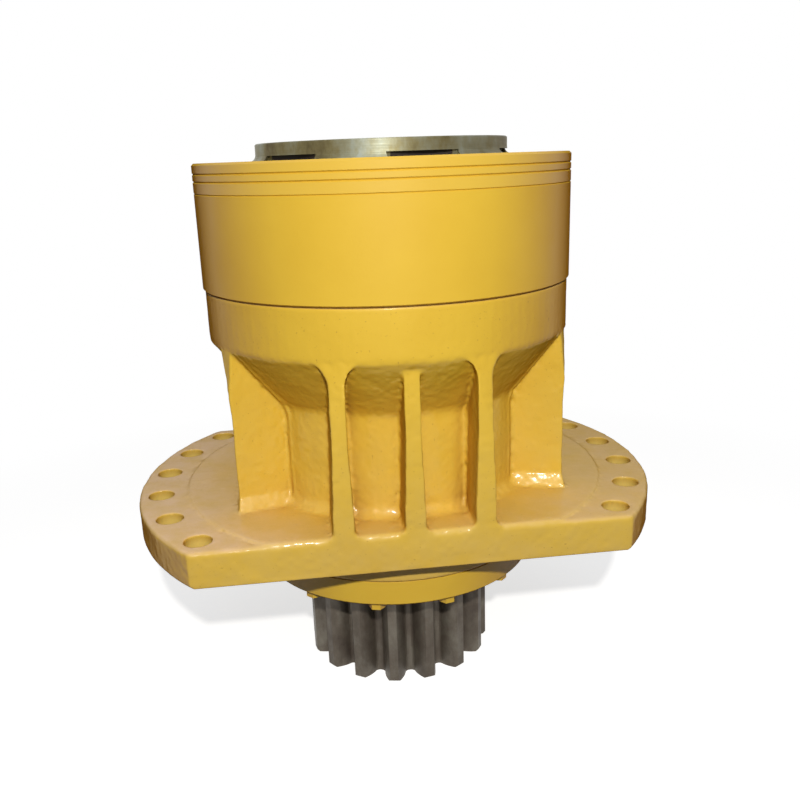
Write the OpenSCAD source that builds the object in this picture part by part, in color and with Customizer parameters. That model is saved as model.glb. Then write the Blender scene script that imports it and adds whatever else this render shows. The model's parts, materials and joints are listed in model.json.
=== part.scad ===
// Swing reduction gearbox of an excavator or crane: two planetary stages share one ring gear
// above a cast casing, and the swing pinion stands out below its mounting flange.
// The origin is the centre of the flange's lower face. +Z runs up the shaft and the front is -Y.

/* [Mounting flange] */
// Outside diameter of the round flange
flange_d = 545; // [536:1:570]
// Width across the front and back flats
flange_flat_w = 357; // [352:1:372]
// Thickness of the flange
flange_t = 35; // [28:1:40]
// Distance from the flange's rim in to the centres of the mounting holes
flange_hole_edge = 22.5; // [18:0.5:26]
// Distance from the centres of the mounting holes in to the raised round pad
pad_gap = 28; // [20:1:40]
// Height of the raised pad
pad_h = 2; // [1:0.5:4]
// Diameter of each mounting hole
flange_hole_d = 26; // [20:1:28]
// Number of mounting holes on each side
flange_holes_per_side = 6; // [4:2:6]
// Angle between neighbouring mounting holes
flange_hole_step = 15; // [12:0.5:16]
// Diameter of the pilot under the flange
pilot_d = 300; // [292:1:312]
// Height of the pilot below the flange
pilot_h = 28; // [24:1:36]

/* [Casing] */
// Height of the casing above the flange's lower face
casing_h = 246; // [240:1:270]
// How far the casing's band stands inside the ring gear's rim
band_step = 2; // [1:0.5:5]
// Height of the casing's band
band_h = 50; // [44:1:56]
// Height of the flare between the neck and the band
flare_h = 58; // [46:1:64]
// Diameter of the neck
neck_d = 280; // [272:1:288]
// Thickness of each rib at its foot
rib_t = 20; // [16:1:26]
// Thickness of each rib above its drafted foot
rib_top_t = 14.5; // [12:0.5:16]
// Height of the drafted foot of the ribs
rib_draft_h = 85; // [60:5:100]
// Distance between neighbouring ribs
rib_pitch = 65.5; // [60:0.5:72]
// Radius of the arches in which the outer ribs run into the band
rib_arch_r = 24; // [14:1:28]
// Half the width across the two side columns
column_reach = 164; // [158:1:168]
// Width of each side column at its outer face
column_w = 209; // [196:1:216]
// Angle by which the columns' faces close in towards the neck
column_taper = 17; // [12:1:20]
// Radius of the long sweep from a column into the band
column_sweep_r = 215; // [190:5:260]
// Radius of the fillet round the foot of the neck and the columns
foot_r = 12; // [6:0.5:14]
// Radius of the fillet round the foot of each rib
rib_foot_r = 4; // [2:0.5:8]
// Radius of the fillet where ribs and columns leave the neck
corner_r = 5; // [4:0.5:10]
// Step from the ring gear's tooth roots in to the casing's hollow
hollow_step = 4; // [2:0.5:6]
// Diameter of the hollow between the two bearings
mid_cavity_d = 224; // [200:2:232]

/* [Gears] */
// Module of both planetary stages
gear_module = 5; // [4.9:0.05:5.2]
// Teeth on the ring gear that both stages share
ring_teeth = 57; // [57:6:63]
// Teeth on the first stage's sun
sun_1_teeth = 15; // [15:6:21]
// Teeth on the second stage's sun
sun_2_teeth = 21; // [15:6:21]
// Face width of the first stage's planets
stage_1_face = 23; // [20:0.5:30]
// Face width of the second stage's planets
stage_2_face = 40; // [36:0.5:50]
// Iron between the ring gear's tooth roots and its rim
ring_wall = 38.25; // [36:0.25:44]
// Play between two meshing teeth
gear_backlash = 0.5; // [0.3:0.05:0.7]

/* [Swing pinion] */
// Teeth on the swing pinion
pinion_teeth = 16; // [15:1:17]
// Module of the swing pinion
pinion_module = 11; // [10.75:0.25:11.5]
// Height of the pinion's teeth above their pitch line, in modules
pinion_addendum = 0.68; // [0.6:0.02:0.8]
// Profile shift of the pinion's teeth, in modules
pinion_shift = 0.5; // [0.35:0.05:0.55]
// Face width of the swing pinion
pinion_face = 104; // [80:1:130]
// Gap from the bearing retainer to the pinion
pinion_gap = 15.5; // [14:0.5:30]
// Angle from the front to the nearest tooth
pinion_phase = 12.2; // [0:0.1:24]

/* [Carriers and planets] */
// Thickness of the second carrier's lower plate
carrier_2_plate_t = 32; // [28:1:36]
// Thickness of the second carrier's upper plate
carrier_2_top_t = 9; // [8:0.5:14]
// Thickness of the first carrier's plate
carrier_1_t = 11; // [10:0.5:16]
// Diameter of the second stage's planet pins
pin_2_d = 40; // [36:1:42]
// Diameter of the first stage's planet pins
pin_1_d = 32; // [28:1:36]
// Diameter of each needle roller
needle_d = 7; // [6:0.5:7.5]
// Thickness of each thrust washer
thrust_t = 1.5; // [1:0.25:2.5]

/* [Bearings and seal] */
// Bore of the lower bearing
lower_bearing_d = 110; // [106:1:116]
// Outside diameter of the lower bearing
lower_bearing_od = 200; // [192:1:206]
// Width of the lower bearing
lower_bearing_w = 53; // [48:1:56]
// Bore of the upper bearing
upper_bearing_d = 90; // [88:1:96]
// Outside diameter of the upper bearing
upper_bearing_od = 160; // [154:1:164]
// Width of the upper bearing
upper_bearing_w = 42; // [38:1:44]
// Depth of the upper bearing's seat below the casing's upper face
upper_seat_depth = 118; // [114:1:126]
// Thickness of the retainer under the pilot
retainer_t = 25.5; // [22:0.5:30]
// Outside diameter of the sleeve that the seal runs on
sleeve_d = 140; // [134:1:144]
// Width of the oil seal
seal_w = 14; // [12:1:15]

/* [Top cover] */
// Thickness of the cover's rim
cover_t = 28; // [26:1:36]
// Diameter of the raised motor seat
motor_seat_d = 250; // [244:1:262]
// Height of the raised motor seat
motor_seat_h = 16; // [12:1:22]
// Diameter of the pilot bore that locates the motor
motor_bore_d = 180; // [170:1:184]
// Depth of the motor's pilot bore
motor_bore_h = 12; // [8:1:12]
// Number of tapped holes for the motor
motor_bolts = 8; // [6:2:12]
// Diameter of the tapped holes for the motor
motor_tap_d = 12; // [10:0.5:14]

/* [Fasteners] */
// Number of screws through the cover and the ring gear
cover_screws_n = 16; // [12:2:18]
// Thread diameter of those screws
cover_screw_d = 14; // [12:1:14]
// Number of bolts under the bearing retainer
retainer_bolts_n = 12; // [8:2:14]
// Thread diameter of the retainer's bolts
retainer_bolt_d = 10; // [8:1:12]
// Distance from the pilot's edge in to the retainer's bolts
retainer_bolt_edge = 14.5; // [12:0.5:16]

/* [Hidden] */
$fn = 64;

// Clearances
bury = 0.2;
cut = 1;
running_gap = 0.05;
seat_gap = 0.02;
thread_gap = 0.05;
hole_gap = 0.5;
axial_gap = 0.25;
spline_gap = 0.1;

// Tooth rules
pressure_angle = 20;
planets = 3;
flank_steps = 4;
fillet_steps = 2;
pinion_steps = 9;
pinion_fillet_steps = 4;
ring_addendum = 0.8;
addendum = 1;
dedendum = 1.25;
tooth_fillet = 0.25;
pinion_fillet = 0.42;

// Radii of the gears
planet_1_teeth = (ring_teeth - sun_1_teeth) / 2;
planet_2_teeth = (ring_teeth - sun_2_teeth) / 2;
ring_pitch_r = gear_module * ring_teeth / 2;
ring_root_r = ring_pitch_r + dedendum * gear_module;
ring_tooth_r = ring_pitch_r - ring_addendum * gear_module;
stage_1_r = gear_module * (sun_1_teeth + planet_1_teeth) / 2;
stage_2_r = gear_module * (sun_2_teeth + planet_2_teeth) / 2;
sun_1_root_r = gear_module * (sun_1_teeth / 2 - dedendum);
sun_2_root_r = gear_module * (sun_2_teeth / 2 - dedendum);
sun_2_tip_r = gear_module * (sun_2_teeth / 2 + addendum);
planet_1_tip_r = gear_module * (planet_1_teeth / 2 + addendum);
planet_2_tip_r = gear_module * (planet_2_teeth / 2 + addendum);
stage_2_angle = 90;
stage_1_angle = stage_2_angle + 180 / planets;
function planet_angle(first, i) = first + 360 / planets * i;

// Outer radii of the casing and the ring gear
rim_r = ring_root_r + ring_wall;
band_r = rim_r - band_step;
pilot_r = pilot_d / 2;
neck_r = neck_d / 2;
rib_face_y = flange_flat_w / 2;
flange_hole_r = flange_d / 2 - flange_hole_edge;
pad_r = flange_hole_r - pad_gap;
pad_z = flange_t + pad_h;
band_z = casing_h - band_h;
flare_z = band_z - flare_h;
joint_chamfer = 1.5;
edge_chamfer = 2.5;
band_edge_r = 4;
flare_blend_r = 16;
trim_step = 0.5;
trim_foot_r = rib_face_y + 24;
rib_foot_z = flange_t - edge_chamfer - bury;
column_foot_z = pad_z - 3 * bury;
rib_head_z = band_z + 4;
middle_head_r = 8;
column_sweep_z = pad_z + 59;
column_face_r = column_w / 2 * cos(column_taper) - column_reach * sin(column_taper);
arc_steps = 5;

// Heights of the geartrain, from the casing's upper face
planet_2_z = casing_h + 2;
planet_2_top = planet_2_z + stage_2_face;
washer_room = thrust_t + axial_gap;
carrier_2_plate_top = planet_2_z - washer_room;
carrier_2_plate_z = carrier_2_plate_top - carrier_2_plate_t;
carrier_2_top_z = planet_2_top + washer_room;
carrier_2_end_z = carrier_2_top_z + carrier_2_top_t;
stage_gap = 3;
carrier_1_z = carrier_2_end_z + stage_gap;
carrier_1_top = carrier_1_z + carrier_1_t;
planet_1_z = carrier_1_top + washer_room;
planet_1_top = planet_1_z + stage_1_face;
ring_end_gap = 0.5;
cover_z = planet_1_top + ring_end_gap;
rim_z = cover_z + cover_t;
seat_z = rim_z + motor_seat_h;

// Carriers, pins and needles
carrier_r = ring_tooth_r - 3.5;
planet_pocket_gap = 3;
post_inner_gap = 5;
pin_lead = 1.5;
pin_1_end = 6.5;
snap_t = 2;
snap_depth = 1.5;
lock_pin_d = 8;
lock_pin_inset = 3;
pin_2_seat = carrier_2_plate_t - 8;
bore_1_r = pin_1_d / 2 + needle_d + running_gap;
bore_2_r = pin_2_d / 2 + needle_d + running_gap;
needle_end_gap = 0.5;
function needle_count(pin_d) = floor(PI * (pin_d + needle_d) / (needle_d * 1.12));
pin_end_inset = 0.5;
washer_wall = 4;
snap_wall = 5;
hub_1_r = sun_2_tip_r + 11.5;
hub_1_z = carrier_2_top_z + stage_gap / 2;
carrier_2_hole_r = hub_1_r + 2.5;
thrust_ring_r = carrier_2_hole_r + 1.5;
thrust_ring_w = 14;
sun_snap_r = sun_2_tip_r - 3;
sun_snap_wall = 6.5;
sun_snap_bore_r = sun_snap_r + sun_snap_wall + 1;
sun_snap_floor = 4;
sun_2_z = planet_2_z - 1;
sun_2_top = carrier_1_top - 0.5;
sun_2_bore_r = 16;
button_r = 27;
button_stem = 14;
scallop_r = 42;
scallop_place_r = carrier_r + 14;

// Shaft
lower_seat_r = lower_bearing_d / 2;
upper_seat_r = upper_bearing_d / 2;
bearing_gap_z = 3;
upper_seat_z = casing_h - upper_seat_depth;
lower_bearing_z = bearing_gap_z - pilot_h;
lower_bearing_top = lower_bearing_z + lower_bearing_w;
upper_bearing_top = upper_seat_z + upper_bearing_w;
pinion_top = -(pilot_h + retainer_t + pinion_gap);
pinion_z = pinion_top - pinion_face;
pinion_pitch_r = pinion_module * pinion_teeth / 2;
pinion_root_r = pinion_pitch_r - pinion_module * (dedendum - pinion_shift);
pinion_tip_r = pinion_pitch_r + pinion_module * (pinion_shift + pinion_addendum);
spline_teeth = 24;
spline_tip_r = upper_seat_r - 1;
spline_root_r = spline_tip_r - 4;
spline_flank = [[0, -0.3], [1, -0.2], [1, 0.2], [0, 0.3]];
shoulder_r = sleeve_d / 2 - 6;
sleeve_z = pinion_top + 5;
sleeve_seat_r = lower_seat_r + 2;
shaft_waist_r = (lower_seat_r + upper_seat_r) / 2;
shaft_step = 4;
shaft_chamfer = 3;
pinion_chamfer = 2.5;
hub_nose_r = upper_seat_r + 10;
hub_nose_h = 7;
hub_relief_h = 4;
end_plate_t = 8;
end_plate_r = spline_tip_r + 5;
end_bolt_d = 12;
end_bolt_r = 26;
end_bolts_n = 3;
shaft_top = carrier_2_plate_top - 20;
hub_r = upper_bearing_od / 2 - 13;
center_hole_r = 9;
end_plate_gap = 0.5;
end_plate_z = shaft_top + end_plate_gap;
end_bolt_len = 30;

// Bearings
roller_share = 0.52;
roller_r_share = 0.19;
roller_len_share = 0.6;
roller_tilt = 12;
roller_taper = 2;
roller_pitch_ratio = 2.6;
cone_step = 3;
cup_step = 7;
roller_end_gap = 0.3;
race_gap = 0.03;
cage_t = 3;
cage_pocket_gap = 0.4;
cage_end = 4;
rib_share = 0.45;

// Retainer and seal
retainer_r = pilot_r - 1.5;
retainer_z = -(pilot_h + retainer_t);
retainer_bolt_r = pilot_r - retainer_bolt_edge;
retainer_bolt_len = retainer_t + 18;
tap_depth = retainer_bolt_len - retainer_t + 4;
head_ratio = 0.63;
hex_ratio = 1.5;
spring_washer_t = 1.8;
seal_r = sleeve_d / 2 + 15;
seal_lip_gap = 0.05;
seal_floor = 3;
seal_wall = 2.5;
seal_lip = 5;
retainer_spigot_h = lower_bearing_z + pilot_h;
retainer_o_ring_r = lower_bearing_od / 2 + 15;
retainer_bore_r = seal_r - 9;
o_ring_d = 3.2;
o_ring_gap = 0.1;

// Cover
screw_r = ring_root_r + (rim_r - ring_root_r) * 0.53;
screw_head_d = 1.5 * cover_screw_d;
screw_grip = 2.1 * cover_screw_d;
counterbore_gap = 0.75;
screw_sink = 1;
o_ring_r = ring_root_r + 5;
cavity_r = ring_root_r - hollow_step;
roof_clear = 6;
roof_z = planet_1_top + washer_room + snap_t + pin_lead + roof_clear;
shaft_opening_r = 70;
motor_bolt_r = (motor_bore_d / 2 + motor_seat_d / 2) / 2;
motor_tap_depth = motor_seat_h + 8;
seat_foot_r = 6;
seat_edge = 1;
notches_n = 6;
notch_angle = -138.75;
notch_w = 67;
notch_h = 4.5;
notch_depth = 7;
rim_groove_depth = 1.1;
rim_grooves = [11, 18];
cover_chamfer = 0.8;
rim_edge = 2;
dowel_d = 12;
dowel_len = 28;
sun_1_hub_r = sun_1_root_r - 3;
sun_1_hub_top = rim_z - 4;
input_teeth = 16;
input_minor_r = 18;
input_major_r = 20.5;
input_floor = 4;

// Oil ports
port_angle = 90 + asin(rib_pitch / 2 / neck_r);
port_pad_r = 19;
port_pad_h = 9;
plug_d = 22;
plug_hex_r = 15;
plug_head_h = 9;
plug_washer_t = 2;
plug_washer_r = 16.5;
plug_len = port_pad_h + 12;
drain_z = pad_z + foot_r + 24;
filler_z = casing_h - band_h / 2;
oil_hole_d = 16;
oil_holes_n = 6;
seat_lip_h = 8;
seat_lip_w = 11;

// Colours
paint = [0.90, 0.72, 0.25];
pinion_steel = [0.30, 0.28, 0.26];
bright_steel = [0.72, 0.73, 0.74];
gear_steel = [0.55, 0.56, 0.58];
black_oxide = [0.16, 0.16, 0.17];
seal_rubber = [0.12, 0.11, 0.11];
bronze = [0.72, 0.52, 0.27];
machined_iron = [0.52, 0.53, 0.48];

function polar(r, a) = [r * cos(a), r * sin(a)];
function involute(a) = tan(a) * 180 / PI - a;

// Half a tooth's angle at radius r, for a gear whose teeth are thinned by thin
function tooth_half(z, m, shift, thin, r) =
    let (pitch = m * z / 2, base = pitch * cos(pressure_angle))
    (PI * m / 2 + 2 * shift * m * tan(pressure_angle) - thin) / (2 * pitch) * 180 / PI
    + involute(pressure_angle) - involute(acos(min(1, base / max(r, base))));

// One flank as [radius, half angle] pairs, from the root fillet to the tip
function flank(z, m, shift, thin, root, tip, fillet, steps, fsteps) =
    let (
        start = max(m * z / 2 * cos(pressure_angle), root + fillet),
        foot = tooth_half(z, m, shift, thin, start)
    )
    concat(
        [for (i = [0 : fsteps]) let (t = 90 - 90 * i / fsteps)
            [root + fillet * (1 - sin(t)), foot + fillet * (1 - cos(t)) / root * 180 / PI]],
        [for (i = [0 : steps]) let (r = start + (tip - start) * i / steps)
            [r, tooth_half(z, m, shift, thin, r)]]
    );

// A whole gear's outline, with a tooth centred on angle 0
function gear_outline(z, side) = [
    for (k = [0 : z - 1]) let (a = 360 / z * k, n = len(side))
        for (i = [0 : 2 * n - 1])
            i < n ? polar(side[i][0], a - side[i][1])
                  : polar(side[2 * n - 1 - i][0], a + side[2 * n - 1 - i][1])
];

// Outline of one of the planetary stages' outer-toothed gears, grown all round for a socket
function stage_gear(z, grow = 0) =
    let (pitch = gear_module * z / 2)
    gear_outline(z, flank(z, gear_module, 0, gear_backlash / 2 - 2 * grow,
        pitch - dedendum * gear_module + grow, pitch + addendum * gear_module + grow,
        tooth_fillet * gear_module, flank_steps, fillet_steps));

// Turn of a sun that lets every planet mesh with it and with the ring gear
function sun_phase(sun, planet, first) = (180 * (planet + 1) + first * (ring_teeth + sun)) / sun;
function planet_phase(sun, planet, first, a) =
    a + 180 + (a - sun_phase(sun, planet, first)) * sun / planet + 180 / planet;

// Outline of the ring gear's tooth spaces
function ring_spaces() = gear_outline(ring_teeth, [
    for (i = [0 : flank_steps]) let (r = ring_tooth_r + (ring_root_r - ring_tooth_r) * i / flank_steps)
        [r, tooth_half(ring_teeth, gear_module, 0, -gear_backlash / 2, r)]
]);

// Outline of a straight-sided spline
function spline_outline(z, root, tip, grow = 0) = [
    for (k = [0 : z - 1]) let (a = 360 / z * k, g = grow / tip * 180 / PI)
        for (p = spline_flank)
            polar(root + p[0] * (tip - root) + grow, a + p[1] * 360 / z + sign(p[1]) * g)
];

// Right side of an upright wall: a hollow fillet at its foot and another at its head
function wall_side(half, z0, z1, foot, head) = concat(
    [for (i = [0 : arc_steps]) let (t = 90 * i / arc_steps)
        [half + foot * (1 - sin(t)), z0 + foot * (1 - cos(t))]],
    [for (i = [0 : arc_steps]) let (t = 90 * i / arc_steps)
        [half + head * (1 - cos(t)), z1 - head + head * sin(t)]]
);
function mirrored(side) = concat(side, [for (i = [len(side) - 1 : -1 : 0]) [-side[i][0], side[i][1]]]);

// Right side of the columns, which sweep out into the band
function column_side(z0, z1) = concat(
    [for (i = [0 : arc_steps]) let (t = 90 * i / arc_steps)
        [column_reach + foot_r * (1 - sin(t)), z0 + foot_r * (1 - cos(t))]],
    [for (i = [0 : arc_steps]) let (z = column_sweep_z + (z1 - column_sweep_z) * i / arc_steps)
        [column_reach + column_sweep_r - sqrt(pow(column_sweep_r, 2) - pow(z - column_sweep_z, 2)), z]]
);

module ring_array(n, r, phase = 0) {
    for (i = [0 : n - 1]) rotate([0, 0, phase + 360 / n * i]) translate([r, 0, 0]) children();
}
module planet_array(first, r) {
    for (i = [0 : planets - 1]) rotate([0, 0, planet_angle(first, i)]) translate([r, 0, 0]) children();
}
module along_y(length) {
    rotate([90, 0, 0]) linear_extrude(height = length, center = true) children();
}
module along_x(length) {
    rotate([90, 0, 90]) linear_extrude(height = length, center = true) children();
}
module tube(r_out, r_in, h) {
    difference() {
        cylinder(r = r_out, h = h);
        translate([0, 0, -cut]) cylinder(r = r_in, h = h + 2 * cut);
    }
}
module torus(r, section_r) {
    rotate_extrude() translate([r, 0]) circle(r = section_r, $fn = 32);
}
module hex_bolt(d, length, head_h, hex_r) {
    translate([0, 0, -length]) cylinder(d = d, h = length);
    cylinder(r = hex_r, h = head_h, $fn = 6);
}
module socket_screw(d, length) {
    translate([0, 0, -length]) cylinder(d = d, h = length + cut);
    difference() {
        cylinder(d = 1.5 * d, h = d);
        translate([0, 0, d / 2]) cylinder(d = 0.92 * d, h = d, $fn = 6);
    }
}

// Casing
module flange_plate() {
    half = flange_flat_w / 2;
    r = flange_d / 2;
    c = edge_chamfer;
    intersection() {
        rotate_extrude() polygon([[0, 0], [r - c, 0], [r, c], [r, flange_t - c], [r - c, flange_t],
            [0, flange_t]]);
        along_x(flange_d) polygon([[-half, 0], [half, 0], [half, flange_t - c], [half - c, flange_t],
            [c - half, flange_t], [-half, flange_t - c]]);
    }
    intersection() {
        cylinder(r = pad_r, h = pad_z);
        cube([2 * pad_r, flange_flat_w - 2 * c, 3 * pad_z], center = true);
    }
}
// Neck, flare and band as one turned form
module turned_casting() {
    r = neck_r;
    slope = atan2(flare_h, band_r - neck_r);
    rotate_extrude($fn = 128) polygon(concat(
        [[0, -pilot_h], [pilot_r - joint_chamfer, -pilot_h], [pilot_r, joint_chamfer - pilot_h],
            [pilot_r, pad_z - bury]],
        [for (i = [0 : arc_steps]) let (t = 90 * i / arc_steps)
            [r + foot_r * (1 - sin(t)), pad_z - bury + foot_r * (1 - cos(t))]],
        [for (i = [0 : arc_steps]) let (t = (90 - slope) * i / arc_steps)
            [r + flare_blend_r * (1 - cos(t)),
                flare_z - flare_blend_r * tan((90 - slope) / 2) + flare_blend_r * sin(t)]],
        [[band_r - band_edge_r * cos(slope), band_z - band_edge_r * sin(slope) + band_edge_r * 0.2],
            [band_r - band_edge_r * 0.2, band_z], [band_r, band_z + band_edge_r],
            [band_r, casing_h - joint_chamfer], [band_r - joint_chamfer, casing_h], [0, casing_h]]
    ));
}
// Plan of the neck and the columns, whose faces close in towards the neck
module column_plan() {
    w = column_w / 2;
    waist = w - column_reach * tan(column_taper);
    circle(r = neck_r, $fn = 96);
    for (side = [-1, 1])
        polygon([[0, -waist], [side * column_reach, -w], [side * column_reach, w], [0, waist]]);
}
// Plan of the ribs and columns, with a fillet in each inner corner
module wall_plan() {
    offset(r = -corner_r - bury, $fn = 48) offset(delta = corner_r) {
        column_plan();
        for (x = [-rib_pitch, 0, rib_pitch])
            translate([x, 0]) square([rib_top_t, 2 * rib_face_y], center = true);
    }
}
// One rib at the front and one at the back, with drafted feet and arched heads
module rib_pair(x, arch) {
    top = rib_top_t / 2;
    side = concat(
        [for (i = [0 : arc_steps]) let (t = 90 * i / arc_steps)
            [rib_t / 2 + rib_foot_r * (1 - sin(t)), pad_z + rib_foot_r * (1 - cos(t))]],
        [[top, pad_z + rib_draft_h]],
        [for (i = [0 : arc_steps]) let (t = 90 * i / arc_steps)
            [top + arch * (1 - cos(t)), rib_head_z - arch + arch * sin(t)]]
    );
    foot = rib_t / 2 + rib_foot_r;
    translate([x, 0, 0]) along_y(2 * rib_face_y)
        polygon(concat([[foot, rib_foot_z]], mirrored(side), [[-foot, rib_foot_z]]));
}
// What lies behind a column's slanted face, with a hollow fillet at its foot
module behind_face(angle) {
    side = wall_side(column_face_r, column_foot_z, rib_head_z, foot_r, 0);
    rotate([0, 0, angle]) along_x(2 * flange_d)
        polygon(concat([[-flange_d, column_foot_z]], side, [[-flange_d, rib_head_z]]));
}
module column_pair() {
    for (side = [0, 180]) rotate([0, 0, side]) intersection() {
        along_y(flange_d) polygon(concat([[0, column_foot_z]], column_side(column_foot_z, rib_head_z),
            [[0, rib_head_z]]));
        behind_face(column_taper);
        mirror([0, 1, 0]) behind_face(column_taper);
    }
}
module ribs_and_columns() {
    z0 = pad_z - bury;
    intersection() {
        union() {
            translate([0, 0, z0]) linear_extrude(height = rib_head_z - z0) wall_plan();
            rib_pair(0, middle_head_r);
            for (x = [-rib_pitch, rib_pitch]) rib_pair(x, rib_arch_r);
            column_pair();
        }
        translate([0, 0, rib_foot_z])
            cylinder(r1 = trim_foot_r, r2 = band_r - trim_step, h = rib_head_z - rib_foot_z, $fn = 128);
    }
}
module port_pads() {
    for (p = [[drain_z, neck_r], [filler_z, band_r]])
        rotate([0, 0, port_angle]) translate([p[1] - 2 * port_pad_h, 0, p[0]])
            rotate([0, 90, 0]) cylinder(r = port_pad_r, h = 3 * port_pad_h);
}
module casing_hollow() {
    lip_z = lower_bearing_top + seat_lip_h;
    rotate_extrude($fn = 128) polygon([
        [0, -pilot_h - cut], [lower_bearing_od / 2 + seat_gap, -pilot_h - cut],
        [lower_bearing_od / 2 + seat_gap, lower_bearing_top],
        [lower_bearing_od / 2 - seat_lip_w, lower_bearing_top], [lower_bearing_od / 2 - seat_lip_w, lip_z],
        [mid_cavity_d / 2, lip_z + foot_r], [mid_cavity_d / 2, upper_seat_z - seat_lip_h - foot_r],
        [mid_cavity_d / 2 - foot_r, upper_seat_z - seat_lip_h],
        [upper_bearing_od / 2 - seat_lip_w, upper_seat_z - seat_lip_h],
        [upper_bearing_od / 2 - seat_lip_w, upper_seat_z], [upper_bearing_od / 2 + seat_gap, upper_seat_z],
        [upper_bearing_od / 2 + seat_gap, upper_bearing_top + cut],
        [upper_bearing_od / 2 + seat_lip_w, upper_bearing_top + cut],
        [cavity_r, carrier_2_plate_z - seat_lip_h], [cavity_r, casing_h + cut], [0, casing_h + cut]
    ]);
}
module flange_holes() {
    for (side = [0, 180], i = [0 : flange_holes_per_side - 1])
        rotate([0, 0, side + flange_hole_step * (i - (flange_holes_per_side - 1) / 2)])
            translate([flange_hole_r, 0, -cut]) cylinder(d = flange_hole_d, h = pad_z + 2 * cut);
}
module face_groove(r) {
    translate([0, 0, -o_ring_d]) tube(r + o_ring_d, r - o_ring_d, o_ring_d + cut);
}
module face_o_ring(r) {
    translate([0, 0, -o_ring_d / 2]) torus(r, (o_ring_d - o_ring_gap) / 2);
}
module dowel_places() {
    ring_array(2, screw_r, 180 / cover_screws_n) children();
}
module casing() {
    color(paint) difference() {
        union() {
            flange_plate();
            turned_casting();
            ribs_and_columns();
            port_pads();
        }
        casing_hollow();
        flange_holes();
        translate([0, 0, casing_h]) face_groove(o_ring_r);
        ring_array(cover_screws_n, screw_r) translate([0, 0, casing_h - screw_grip])
            cylinder(d = cover_screw_d + 2 * thread_gap, h = screw_grip + cut);
        dowel_places() translate([0, 0, casing_h - dowel_len / 2])
            cylinder(d = dowel_d + 2 * seat_gap, h = dowel_len);
        ring_array(retainer_bolts_n, retainer_bolt_r, 90 + 180 / retainer_bolts_n)
            translate([0, 0, -pilot_h - cut])
                cylinder(d = retainer_bolt_d + 2 * thread_gap, h = tap_depth + cut);
        ring_array(oil_holes_n, upper_bearing_od / 2 + seat_lip_w + oil_hole_d / 2 + 2)
            translate([0, 0, upper_seat_z - 3 * seat_lip_h])
                cylinder(d = oil_hole_d, h = carrier_2_plate_z - upper_seat_z + seat_lip_h);
        for (z = [drain_z, filler_z]) rotate([0, 0, port_angle]) translate([0, 0, z])
            rotate([0, 90, 0]) cylinder(d = plug_d + 2 * thread_gap, h = rim_r + 2 * port_pad_h);
    }
}

// Retainer, its fasteners and the seal
module retainer_places() {
    ring_array(retainer_bolts_n, retainer_bolt_r, 90 + 180 / retainer_bolts_n) children();
}
module bearing_retainer() {
    c = joint_chamfer;
    spigot_z = retainer_z + retainer_t + retainer_spigot_h;
    color(paint) difference() {
        rotate_extrude($fn = 128) polygon([
            [seal_r + seat_gap, retainer_z], [retainer_r - c, retainer_z], [retainer_r, retainer_z + c],
            [retainer_r, -pilot_h - cover_chamfer], [retainer_r - cover_chamfer, -pilot_h],
            [lower_bearing_od / 2 - running_gap, -pilot_h], [lower_bearing_od / 2 - running_gap, spigot_z],
            [retainer_bore_r, spigot_z], [retainer_bore_r, retainer_z + seal_floor + seal_w],
            [seal_r + seat_gap, retainer_z + seal_floor + seal_w]
        ]);
        translate([0, 0, -pilot_h]) face_groove(retainer_o_ring_r);
        retainer_places() translate([0, 0, retainer_z - cut])
            cylinder(d = retainer_bolt_d + 2 * hole_gap, h = retainer_t + 2 * cut);
    }
}
module retainer_bolts() {
    d = retainer_bolt_d;
    color(paint) retainer_places() translate([0, 0, retainer_z - spring_washer_t])
        rotate([180, 0, 30]) hex_bolt(d, retainer_bolt_len, head_ratio * d, hex_ratio * d / sqrt(3));
}
module retainer_washers() {
    d = retainer_bolt_d;
    color(paint) retainer_places() translate([0, 0, retainer_z - spring_washer_t])
        rotate_extrude(angle = 350) translate([d / 2 + hole_gap, 0])
            square([0.36 * d, spring_washer_t]);
}
module retainer_o_ring() {
    color(seal_rubber) translate([0, 0, -pilot_h]) face_o_ring(retainer_o_ring_r);
}
module oil_seal() {
    lip = sleeve_d / 2 + seal_lip_gap;
    color(seal_rubber) translate([0, 0, retainer_z + seal_floor]) rotate_extrude() polygon([
        [seal_r, 0], [seal_r, seal_w], [seal_r - seal_wall, seal_w], [seal_r - seal_wall, seal_wall],
        [lip + seal_lip + 1, seal_wall], [lip + seal_lip, seal_w - 2], [lip, seal_w - seal_lip],
        [lip + seal_wall, seal_wall], [lip, 0.5], [lip + seal_wall, 0]
    ]);
}

// Tapered roller bearings, with the cup's back face on z = 0 and the cone's on z = w
function roller_mid(ri, ro) = ri + roller_share * (ro - ri);
function roller_r(ri, ro) = roller_r_share * (ro - ri);
function roller_n(ri, ro) = floor(2 * PI * roller_mid(ri, ro) / (roller_pitch_ratio * roller_r(ri, ro)));
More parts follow.
